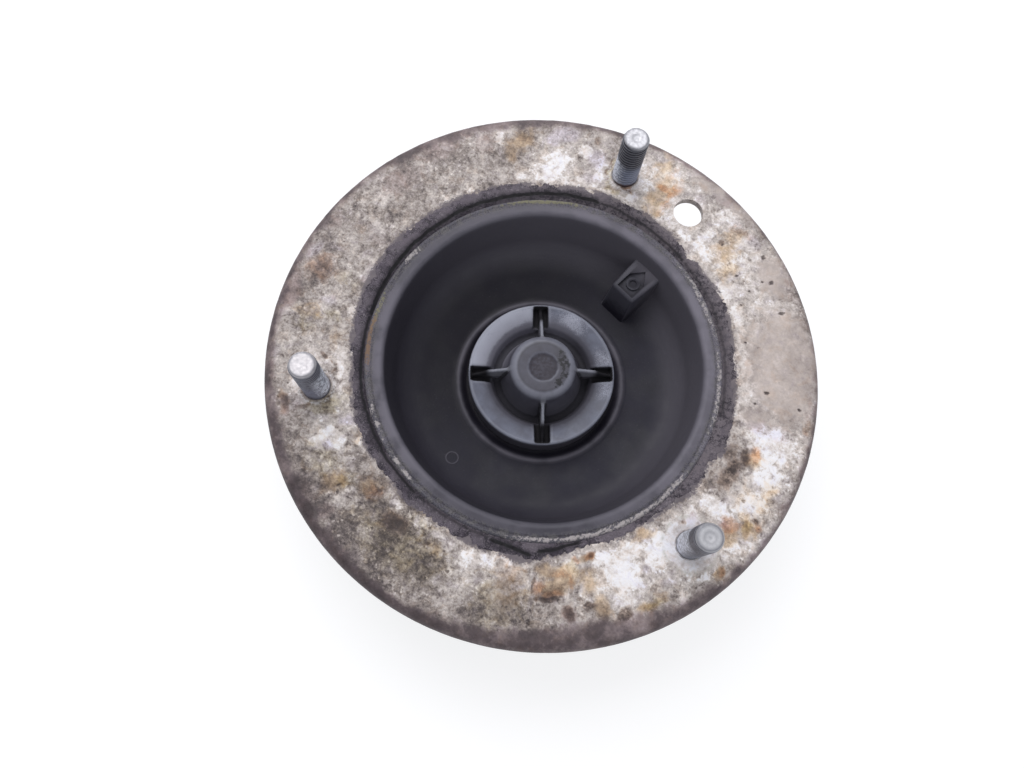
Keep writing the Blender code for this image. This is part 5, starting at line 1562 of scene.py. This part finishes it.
def makeCap():
    s = capSettings
    turns = [s["pocketAngle"] + math.pi / 2 * step for step in range(4)]
    outline = [Vector((0.0, s["bottom"]))] + roundedPath(capSkin(0.0), False)
    points, faces = spun(outline, s["sides"], False)
    cap = meshObject("dustCap", points, faces)
    room = roundedPath(capSkin(s["wall"]), False)
    room[0] = Vector((room[0].x, s["bottom"] - s["wall"]))
    room[-1] = Vector((0.0, room[-1].y))
    room = [Vector((0.0, s["bottom"] - s["wall"]))] + room
    points, faces = spun(room, s["sides"], False)
    hollow = meshObject("helperRoom", points, faces)
    cut(hollow, *[turnedShape(capPocket(s["wall"]), turn) for turn in turns])
    cut(cap, *[turnedShape(capPocket(0.0), turn) for turn in turns])
    join(cap, *[turnedShape(capRib(), turn) for turn in turns])
    combine(cap, hollow, "DIFFERENCE")
    dial = prismShape(circlePoints(s["dial"], 64), s["domeTop"] - 0.5 * mm, s["domeTop"] + 0.5 * mm)
    cut(cap, dial)
    remesh = cap.modifiers.new("soften", "REMESH")
    remesh.mode = "VOXEL"
    remesh.voxel_size = s["voxel"]
    relax = cap.modifiers.new("relax", "SMOOTH")
    relax.factor = 0.5
    relax.iterations = 6
    bakeModifiers(cap)
    cap.data.shade_smooth()
    points, normals, radius, turnRound = measured(cap)
    dial = (
        smoothStep(4.5 * mm, 3.9 * mm, radius) * smoothStep(0.5, 0.9, normals[:, 2])
        * smoothStep(33 * mm, 33.6 * mm, points[:, 2])
    )
    rise = (layeredNoise(points, 0.8 * mm, 71) - 0.55) * 0.3 * mm * dial
    setPoints(cap, points + normals * rise[:, None])
    paintEdges(cap, 0.8)
    top = smoothStep(0.2, 0.8, normals[:, 2])
    annulus = (
        smoothStep(15.9 * mm, 19.0 * mm, radius) * top * smoothStep(25.2 * mm, 25.8 * mm, points[:, 2])
    )
    trough = smoothStep(10.2 * mm, 11.6 * mm, radius) * smoothStep(27.5 * mm, 24.6 * mm, points[:, 2])
    slope = 0.6 * smoothStep(9.9 * mm, 11.0 * mm, radius) * smoothStep(33.0 * mm, 27.0 * mm, points[:, 2])
    trough = np.maximum(trough, slope * smoothStep(17.0 * mm, 15.5 * mm, radius))
    pocket, ribTop = np.zeros(len(points)), np.zeros(len(points))
    for turn in turns:
        along = points[:, 0] * math.cos(turn) + points[:, 1] * math.sin(turn)
        across = np.abs(points[:, 1] * math.cos(turn) - points[:, 0] * math.sin(turn))
        inPocket = (
            smoothStep(14.6 * mm, 16.4 * mm, along)
            * smoothStep(s["pocketWidth"] / 2 + 0.25 * mm, s["pocketWidth"] / 2 - 0.25 * mm, across)
        )
        pocket = np.maximum(
            pocket, inPocket * smoothStep(s["radius"] - 0.3 * mm, s["radius"] - 0.6 * mm, radius)
        )
        onRib = (
            smoothStep(0.95 * mm, 0.65 * mm, across) * smoothStep(24.9 * mm, 26.4 * mm, points[:, 2])
            * smoothStep(8.6 * mm, 9.8 * mm, along)
        )
        ribTop = np.maximum(ribTop, onRib * smoothStep(17.5 * mm, 14.5 * mm, along))
    paint(cap, "capFields", dial, annulus * (1.0 - pocket), trough * (1.0 - ribTop))
    # Painted shade in the pockets, and painted light in the trough towards 140°
    paint(cap, "capShades", pocket * (1.0 - ribTop), lobe(turnRound, 140.0, 0.1, 0.9) * trough)
    # Painted highlight round the dome's shoulder
    domeShoulderHighlight = (
        smoothStep(1.6 * mm, 0.4 * mm, np.abs(radius - 8.8 * mm))
        * smoothStep(32 * mm, 33.4 * mm, points[:, 2])
    )
    innerRing = (
        smoothStep(0.5 * mm, 0.15 * mm, np.abs(radius - 7.6 * mm)) * top
        * smoothStep(33 * mm, 34 * mm, points[:, 2])
    )
    # Painted highlight on the annulus, strongest round 126° to 194°, together with real scuffs
    highlightScuffSpots = [
        (126, 19.5, 7, 4, 0.9), (146, 19.5, 8, 4, 1.6), (164, 19.5, 7, 4, 1.9),
        (182, 19.5, 6, 4, 1.7), (194, 19.5, 3, 4, 1.2), (82, 19.5, 5, 4, 0.6), (36, 19.8, 4, 4, 0.5),
        (10, 20, 4, 4, 0.4),
    ]
    highlightAndScuffs = stainField(points, highlightScuffSpots, [0.0, 0.0])
    # Red: painted highlight and scuffs on the annulus; green: painted highlight on the rib tops
    paint(cap, "highlightAndScuffs", highlightAndScuffs * annulus * (1.0 - pocket), ribTop)
    scuffsSpots = [
        (-24, 6.5, 2.4, 1.6, 0.72), (34, 6.5, 2.4, 1.7, 0.75), (57, 6.9, 1.5, 1.3, 0.7),
        (6, 7.0, 1.6, 1.1, 0.6),
    ]
    scuffs = stainField(points, scuffsSpots, [0.0, 0.0])
    paint(
        cap,
        "domeFields",
        domeShoulderHighlight,
        innerRing,
        scuffs * smoothStep(s["domeTop"] - 1.6 * mm, s["domeTop"] - 0.8 * mm, points[:, 2]),
    )
    return cap


def makeCapMaterial():
    material, tree, shader, coords = newMaterial("capPlastic", roughness=0.4, Specular_IOR_Level=0.28)
    grain = grainAt(tree, coords, 1.0 * mm)
    dust = dustAt(tree, coords, 0.35, 5.0 * mm)
    wear = wearAt(tree, coords, 1.2 * mm, 0.15)
    fields = paintedField(tree, "capFields")
    dome = paintedField(tree, "domeFields")
    streak = noiseNode(tree, coords, 4.0 * mm, 6.0, 0.65, 0.25)
    tone = layered(tree, tint(60, 58, 67), [
        (fade(tree, grain["Coarse"], 0.3, 0.7), tint(76, 75, 85)),
        (dust, tint(94, 93, 105)),
    ])
    sheen = times(tree, fields[1], fade(tree, streak, 0.35, 0.65, 0.5, 1.0))
    tone = mixColour(tree, sheen, tone, tint(100, 103, 118))
    # painted highlight and scuffs on the annulus, and painted highlight on the rib tops
    highlightAndScuffs = paintedField(tree, "highlightAndScuffs")
    noise = timesPlus(tree, grain["Fine"], 0.6, times(tree, streak, 0.4))
    bright = tint(170, 171, 184)
    tone = stained(tree, highlightAndScuffs[0], noise, 2.6, 0.4, 0.75, under=tone, colour=bright)["Colour"]
    shades = paintedField(tree, "capShades")
    tone = layered(tree, tone, [
        (times(tree, fields[2], 0.9), tint(72, 70, 79)),
        # painted light in the trough towards 140°
        (times(tree, shades[1], 0.7), tint(128, 126, 138)),
        # painted shade in the pockets
        (times(tree, shades[0], 0.95), tint(16, 14, 19)),
        # painted highlight on the rib tops
        (times(tree, highlightAndScuffs[1], 0.8), tint(126, 126, 134)),
    ])
    # painted highlight round the dome's shoulder
    ring = times(tree, dome[0], fade(tree, grain["Coarse"], 0.3, 0.6, 0.4, 0.9))
    tone = layered(tree, tone, [
        (ring, tint(108, 108, 119)),
        (times(tree, dome[1], 0.35), tint(40, 38, 42)),
    ])
    black = tint(16, 14, 18)
    tone = stained(tree, dome[2], grain["Middle"], 2.6, 0.25, under=tone, colour=black)["Colour"]
    hidden = larger(tree, fields[2], shades[0])
    rubbed = times(tree, wear["Rubbed"], timesPlus(tree, hidden, -0.45, 0.45))
    tone = layered(tree, tone, [
        (rubbed, tint(128, 130, 142)),
        # darker in concave corners
        (times(tree, wear["CornerDark"], 0.7), tint(24, 23, 27)),
    ])
    dial = times(tree, fields[0], fade(tree, grain["Middle"], 0.4, 0.6, 0.4, 1.0))
    tone = mixColour(tree, dial, tone, tint(58, 54, 61))
    rough = fade(tree, grain["Coarse"], 0.3, 0.7, 0.32, 0.5)
    rough = timesPlus(tree, hidden, 0.45, rough)
    rough = timesPlus(tree, fields[0], 0.25, rough)
    height = plus(tree, times(tree, grain["Middle"], 0.5), times(tree, grain["Fine"], 0.4))
    dress(tree, shader, tone, rough, height, 0.05 * mm, 0.7)
    return material


dustCap = makeCap()
finish(dustCap, makeCapMaterial(), "cap", "dust_cap", "dust_cap")
print("dust cap", len(dustCap.data.polygons))


# Hub, snap ring and bearing, seen from below

hubSettings = {
    "wall": 2.5 * mm,
    "foot": 31.0 * mm,
    "seat": 20.3 * mm,
    "seatTop": 14.2 * mm,
    "shoulder": 16.7 * mm,
    "grooveLow": 1.1 * mm,
    "grooveHigh": 2.9 * mm,
    "grooveDepth": 1.2 * mm,
    "edge": 0.4 * mm,
    "sides": 200,
}


def makeSteelMaterial(name, dark, light, rustShare, roughness, metallic):
    material, tree, shader, coords = newMaterial(name, roughness=roughness, metallic=metallic)
    grain = grainAt(tree, coords, 1.2 * mm)
    wear = wearAt(tree, coords, 1.4 * mm, 0.3)
    tone = layered(tree, dark, [
        (fade(tree, grain["Coarse"], 0.3, 0.7), light),
        (times(tree, wear["Rubbed"], 0.5), tint(150, 150, 154)),
        # darker in concave corners
        (times(tree, wear["CornerDark"], 0.6), tint(36, 32, 32)),
    ])
    rust = times(tree, fade(tree, grain["Coarse"], 0.52, 0.66), rustShare)
    rust = times(tree, rust, fade(tree, grain["Fine"], 0.35, 0.6, 0.4, 1.0))
    tone = mixColour(tree, rust, tone, tint(120, 74, 46))
    rough = plus(tree, roughness - 0.1, times(tree, grain["Middle"], 0.25))
    rough = plus(tree, rough, times(tree, rust, 0.25))
    feed(tree, shader.inputs["Metallic"], times(tree, minus(tree, 1.0, rust), metallic))
    height = plus(tree, times(tree, grain["Middle"], 0.5), times(tree, rust, 0.6))
    dress(tree, shader, tone, rough, height, 0.08 * mm, 0.7)
    return material


def makeHub():
    s = hubSettings
    seat, edge, wall = s["seat"], s["edge"], s["wall"]
    groove, low, high = seat + s["grooveDepth"], s["grooveLow"], s["grooveHigh"]
    side, neck, top = mount["hubRadius"], mount["neckRadius"], hubHigh.z
    corners = [
        (s["foot"], 0.0, edge),
        (s["foot"], wall, edge),
        (side, wall, 1.5 * mm),
        (side, s["shoulder"], edge),
        (neck, s["shoulder"], 0.0),
        (neck, top, edge),
        (neck - wall, top, edge),
        (neck - wall, s["seatTop"], edge),
        (seat, s["seatTop"], 0.0),
        (seat, high, 0.0),
        (groove, high, 0.0),
        (groove, low, 0.0),
        (seat, low, 0.0),
        (seat, 0.0, edge),
    ]
    hub = spunObject("hubHousing", corners, s["sides"], 1.2 * mm, math.radians(20.0))
    creased(hub, 40.0)
    paintEdges(hub, 0.6)
    return hub


snapRingSettings = {
    "outer": 21.2 * mm,
    "inner": 18.8 * mm,
    "low": 1.4 * mm,
    "high": 2.6 * mm,
    "gap": math.radians(38.0),
    "ear": 1.9 * mm,
    "eye": 0.9 * mm,
    "bevel": 0.12 * mm,
    "steps": 140,
}


def makeSnapRing():
    s = snapRingSettings
    outer, inner, low, high = s["outer"], s["inner"], s["low"], s["high"]
    span, start = math.tau - s["gap"], -math.pi / 2 + s["gap"] / 2
    angles = [start + span * step / s["steps"] for step in range(s["steps"] + 1)]
    outline = [polar(outer, a) for a in angles] + [polar(inner, a) for a in angles[::-1]]
    ring = helperObject([prismShape(outline, low, high)])
    ring.name = "snapRing"
    ears, eyes = [], []
    for turn in (start, start + span):
        centre = polar(inner + 0.25 * mm, turn)
        ears.append(prismShape(circlePoints(s["ear"], 40, centre), low, high))
        eyes.append(prismShape(circlePoints(s["eye"], 28, centre), low - 1 * mm, high + 1 * mm))
    join(ring, *ears)
    cut(ring, *eyes)
    bevel = ring.modifiers.new("edges", "BEVEL")
    bevel.width = s["bevel"]
    bevel.segments = 2
    bevel.limit_method = "ANGLE"
    bakeModifiers(ring)
    creased(ring, 50.0)
    paintEdges(ring, 0.3)
    return ring


bearingSettings = {
    "bore": 7.15 * mm,
    "outer": 20.0 * mm,
    "width": 11.0 * mm,
    "middle": 8.4 * mm,
    "pitch": 14.3 * mm,
    "ball": 3.0 * mm,
    "balls": 12,
    "play": 0.15 * mm,
    "chamfer": 0.6 * mm,
    "outerLand": 17.0 * mm,
    "innerLand": 11.6 * mm,
    "sides": 180,
    "seal": 0.7 * mm,
    "sealInset": 0.2 * mm,
}


def groovePath(land, facing):
    s = bearingSettings
    reach = s["ball"] + s["play"]
    half = math.acos(abs(s["pitch"] - land) / reach)
    steps = [half * (2 * step / 10 - 1) for step in range(11)]
    return [
        (s["pitch"] + facing * reach * math.cos(a), s["middle"] + reach * math.sin(a), 0.0) for a in steps
    ]


def raceEnds():
    # The low and high face of both races, and their chamfer
    s = bearingSettings
    return s["middle"] - s["width"] / 2, s["middle"] + s["width"] / 2, s["chamfer"]


def makeOuterRace():
    s = bearingSettings
    low, high, c = raceEnds()
    corners = [
        (s["outerLand"], low, 0.0),
        (s["outer"], low, c),
        (s["outer"], high, c),
        (s["outerLand"], high, 0.0),
    ]
    race = spunObject("outerRace", corners + groovePath(s["outerLand"], 1.0)[::-1], s["sides"])
    creased(race, 35.0)
    paintEdges(race, 0.4)
    return race


def makeInnerRace():
    s = bearingSettings
    low, high, c = raceEnds()
    spigot, foot, top = s["innerLand"] - 1.4 * mm, low - 2.4 * mm, high + 1.5 * mm
    corners = [
        (s["bore"], top, c),
        (s["bore"], foot, c),
        (spigot, foot, 0.2 * mm),
        (spigot, low, 0.0),
        (s["innerLand"], low, 0.0),
    ]
    corners += groovePath(s["innerLand"], -1.0)
    corners += [(s["innerLand"], high, 0.0), (spigot, high, 0.0), (spigot, top, 0.2 * mm)]
    race = spunObject("innerRace", corners, s["sides"])
    creased(race, 35.0)
    paintEdges(race, 0.4)
    return race


def makeSeal(name, side):
    # A ring with a raised bead and a shallow channel, as moulded seals have
    s = bearingSettings
    face = s["middle"] + side * (s["width"] / 2 - s["sealInset"])
    back = face - side * s["seal"]
    inner, outer = s["innerLand"] + 0.3 * mm, s["outerLand"] - 0.3 * mm
    dip = face - side * 0.22 * mm
    corners = [
        (inner, face, 0.1 * mm), (inner + 0.9 * mm, face, 0.15 * mm), (inner + 1.2 * mm, dip, 0.15 * mm),
        (outer - 1.2 * mm, dip, 0.15 * mm), (outer - 0.9 * mm, face, 0.15 * mm), (outer, face, 0.1 * mm),
        (outer, back, 0.0), (inner, back, 0.0),
    ]
    seal = spunObject(name, corners, s["sides"], 0.8 * mm, math.radians(30.0))
    creased(seal, 50.0)
    paintEdges(seal, 0.3)
    return seal


def makeSealMaterial():
    material, tree, shader, coords = newMaterial("sealRubber", roughness=0.5)
    grain = grainAt(tree, coords, 0.9 * mm)
    wear = wearAt(tree, coords, 1.0 * mm, 0.2)
    tone = layered(tree, tint(38, 36, 38), [
        (fade(tree, grain["Coarse"], 0.3, 0.7), tint(56, 52, 52)),
        (times(tree, wear["Rubbed"], 0.5), tint(92, 90, 92)),
        (fade(tree, grain["Middle"], 0.62, 0.75, 0.0, 0.5), tint(98, 84, 66)),
    ])
    rough = fade(tree, grain["Middle"], 0.3, 0.7, 0.4, 0.65)
    dress(tree, shader, tone, rough, grain["Fine"], 0.04 * mm, 0.6)
    return material


def makeBallTree():
    # Balls on a circle, each an instance until the end
    inputs = {
        "Geometry": "Geometry",
        "Count": 12,
        "Circle": 14.3 * mm,
        "Ball": 3.0 * mm,
        "Height": 8.4 * mm,
        "Finish": "Material",
    }
    tree, ins, ends = newGroup("ballRing", inputs, {"Geometry": "Geometry"}, "GeometryNodeTree")
    values = {"Vertices": ins["Count"], "Radius": ins["Circle"]}
    ring = put(tree, "GeometryNodeMeshCircle", values).outputs[0]
    lift = put(tree, "ShaderNodeCombineXYZ", {"Z": ins["Height"]}).outputs[0]
    raised = put(tree, "GeometryNodeSetPosition", {"Geometry": ring, "Offset": lift}).outputs[0]
    values = {"Segments": 40, "Rings": 22, "Radius": ins["Ball"]}
    ball = put(tree, "GeometryNodeMeshUVSphere", values).outputs[0]
    many = put(tree, "GeometryNodeInstanceOnPoints", {"Points": raised, "Instance": ball}).outputs[0]
    endTree(tree, many, ins["Finish"], ends[0])
    return tree


def makeCage():
    # A crown cage: the pockets open upwards and hold the balls past their middle
    s = bearingSettings
    pocket = s["ball"] + 0.2 * mm
    low, high = s["middle"] - pocket - 0.9 * mm, s["middle"] + 1.5 * mm
    inner, outer = s["pitch"] - 1.3 * mm, s["pitch"] + 1.3 * mm
    corners = [
        (inner, low, 0.2 * mm), (outer, low, 0.2 * mm), (outer, high, 0.2 * mm), (inner, high, 0.2 * mm),
    ]
    cage = spunObject("ballCage", corners, 240, 0.8 * mm, math.radians(40.0))
    pockets = []
    for step in range(s["balls"]):
        shape = bmesh.new()
        bmesh.ops.create_uvsphere(shape, u_segments=40, v_segments=22, radius=pocket)
        x, y = polar(s["pitch"], math.tau * step / s["balls"])
        bmesh.ops.translate(shape, verts=shape.verts, vec=(x, y, s["middle"]))
        pockets.append(shape)
    cut(cage, *pockets)
    creased(cage, 40.0)
    paintEdges(cage, 0.3)
    return cage


def makeCageMaterial():
    material, tree, shader, coords = newMaterial("cagePlastic", roughness=0.45)
    grain = grainAt(tree, coords, 1.0 * mm)
    wear = wearAt(tree, coords, 1.0 * mm, 0.2)
    tone = layered(tree, tint(96, 108, 70), [
        (fade(tree, grain["Coarse"], 0.3, 0.7), tint(114, 126, 86)),
        (times(tree, wear["Rubbed"], 0.5), tint(146, 154, 120)),
        # darker in concave corners
        (times(tree, wear["CornerDark"], 0.7), tint(70, 52, 30)),
    ])
    rough = fade(tree, grain["Middle"], 0.3, 0.7, 0.35, 0.6)
    dress(tree, shader, tone, rough, grain["Fine"], 0.03 * mm, 0.5)
    return material


hubSteel = makeSteelMaterial("hubSteel", tint(56, 54, 56), tint(78, 75, 76), 0.55, 0.5, 0.6)
ringSteel = makeSteelMaterial("springSteel", tint(64, 64, 68), tint(92, 92, 96), 0.3, 0.4, 0.9)
raceSteel = makeSteelMaterial("raceSteel", tint(150, 150, 154), tint(186, 186, 190), 0.12, 0.28, 1.0)
ballSteel = makeSteelMaterial("ballSteel", tint(196, 196, 200), tint(214, 214, 218), 0.0, 0.16, 1.0)
sealRubber = makeSealMaterial()
finish(makeHub(), hubSteel, "mount", "hub_housing", "hub_housing")
finish(makeSnapRing(), ringSteel, "mount", "retaining_ring", "retaining_ring")
finish(makeOuterRace(), raceSteel, "mount", "bearing_race", "outer_race")
finish(makeInnerRace(), raceSteel, "inner_ring", "bearing_race", "inner_race")
finish(makeSeal("upperSeal", 1.0), sealRubber, "mount", "bearing_seal", "upper_seal")
finish(makeSeal("lowerSeal", -1.0), sealRubber, "mount", "bearing_seal", "lower_seal")
finish(makeCage(), makeCageMaterial(), "ball_train", "ball_cage", "ball_cage")
ballSeed = helperObject([prismShape(circlePoints(1.0 * mm, 8), 0.0, 1.0 * mm)])
ballSeed.name = "bearingBalls"
b = bearingSettings
ballValues = {"Count": b["balls"], "Circle": b["pitch"], "Ball": b["ball"], "Height": b["middle"]}
ballValues["Finish"] = ballSteel
applyTree(ballSeed, makeBallTree(), ballValues)
ballSeed.data.shade_smooth()
paintEdges(ballSeed, 0.0)
finish(ballSeed, ballSteel, "ball_train", "ball", *[f"ball_{n:02d}" for n in range(1, b["balls"] + 1)])
print("hub, ring and bearing")


# Floor, light and camera

stageSettings = {
    "floorSize": 3.0,
    "floorTone": tint(150, 150, 154),
    "floorLift": 0.74,
    "worldLight": 0.55,
    "worldTone": (0.93, 0.96, 1.0, 1.0),
    "lamps": [  # name, place, size, power, tone
        ("keyLamp", (-0.34, 0.42, 0.72), 0.8, 6.2, (1.0, 1.0, 1.0)),
        ("fillLamp", (0.55, -0.35, 0.6), 0.6, 1.0, (0.94, 0.96, 1.0)),
    ],
    "lens": 30.006,
    "cameraPlace": (0.01199, -0.0758, 0.28066),
    "cameraRight": (0.92073, 0.38861, 0.03651),
    "cameraUp": (-0.38353, 0.88351, 0.26936),
    "cameraBack": (0.07247, -0.2619, 0.9624),
}


def seenDirectly(tree):
    path = put(tree, "ShaderNodeLightPath").outputs
    mirrored = larger(tree, path["Is Glossy Ray"], path["Is Transmission Ray"])
    return larger(tree, path["Is Camera Ray"], mirrored)


def makeFloor():
    s = stageSettings
    half = s["floorSize"] / 2
    corners = [(-half, -half, 0), (half, -half, 0), (half, half, 0), (-half, half, 0)]
    floor = meshObject("floor", corners, [(0, 1, 2, 3)], False)
    material, tree, shader, coords = newMaterial("paleFloor", roughness=0.85)
    cloud = noiseNode(tree, coords, 0.4, 2.0, 0.55)
    tone = mixColour(tree, fade(tree, cloud, 0.3, 0.7), s["floorTone"], tint(154, 154, 157))
    feed(tree, shader.inputs["Base Color"], tone)
    shader.inputs["Specular IOR Level"].default_value = 0.2
    shader.inputs["Emission Color"].default_value = (1.0, 1.0, 1.0, 1.0)
    feed(tree, shader.inputs["Emission Strength"], times(tree, seenDirectly(tree), s["floorLift"]))
    floor.data.materials.append(material)


def makeWorld():
    s = stageSettings
    world = bpy.data.worlds.new("softRoom")
    bpy.context.scene.world = world
    world.use_nodes = True
    tree = world.node_tree
    background = tree.nodes["Background"]
    background.inputs["Color"].default_value = s["worldTone"]
    lift = times(tree, put(tree, "ShaderNodeLightPath").outputs["Is Camera Ray"], 0.95 - s["worldLight"])
    feed(tree, background.inputs["Strength"], plus(tree, lift, s["worldLight"]))


def makeLamp(name, place, size, power, tone):
    data = bpy.data.lights.new(name, "AREA")
    data.shape = "SQUARE"
    data.size = size
    data.energy = power
    data.color = tone
    lamp = bpy.data.objects.new(name, data)
    lamp.location = place
    lamp.rotation_euler = (-Vector(place)).to_track_quat("-Z", "Y").to_euler()
    bpy.context.scene.collection.objects.link(lamp)


def makeCamera():
    s = stageSettings
    data = bpy.data.cameras.new("camera")
    data.lens = s["lens"]
    data.sensor_width = 36.0
    data.clip_start = 0.01
    camera = bpy.data.objects.new("camera", data)
    axes = Matrix((s["cameraRight"], s["cameraUp"], s["cameraBack"])).transposed().to_4x4()
    camera.matrix_world = Matrix.Translation(s["cameraPlace"]) @ axes
    bpy.context.scene.collection.objects.link(camera)
    bpy.context.scene.camera = camera


makeFloor()
makeWorld()
for lamp in stageSettings["lamps"]:
    makeLamp(*lamp)
makeCamera()
bpy.context.scene.view_settings.view_transform = "Standard"
print("stage, light and camera")
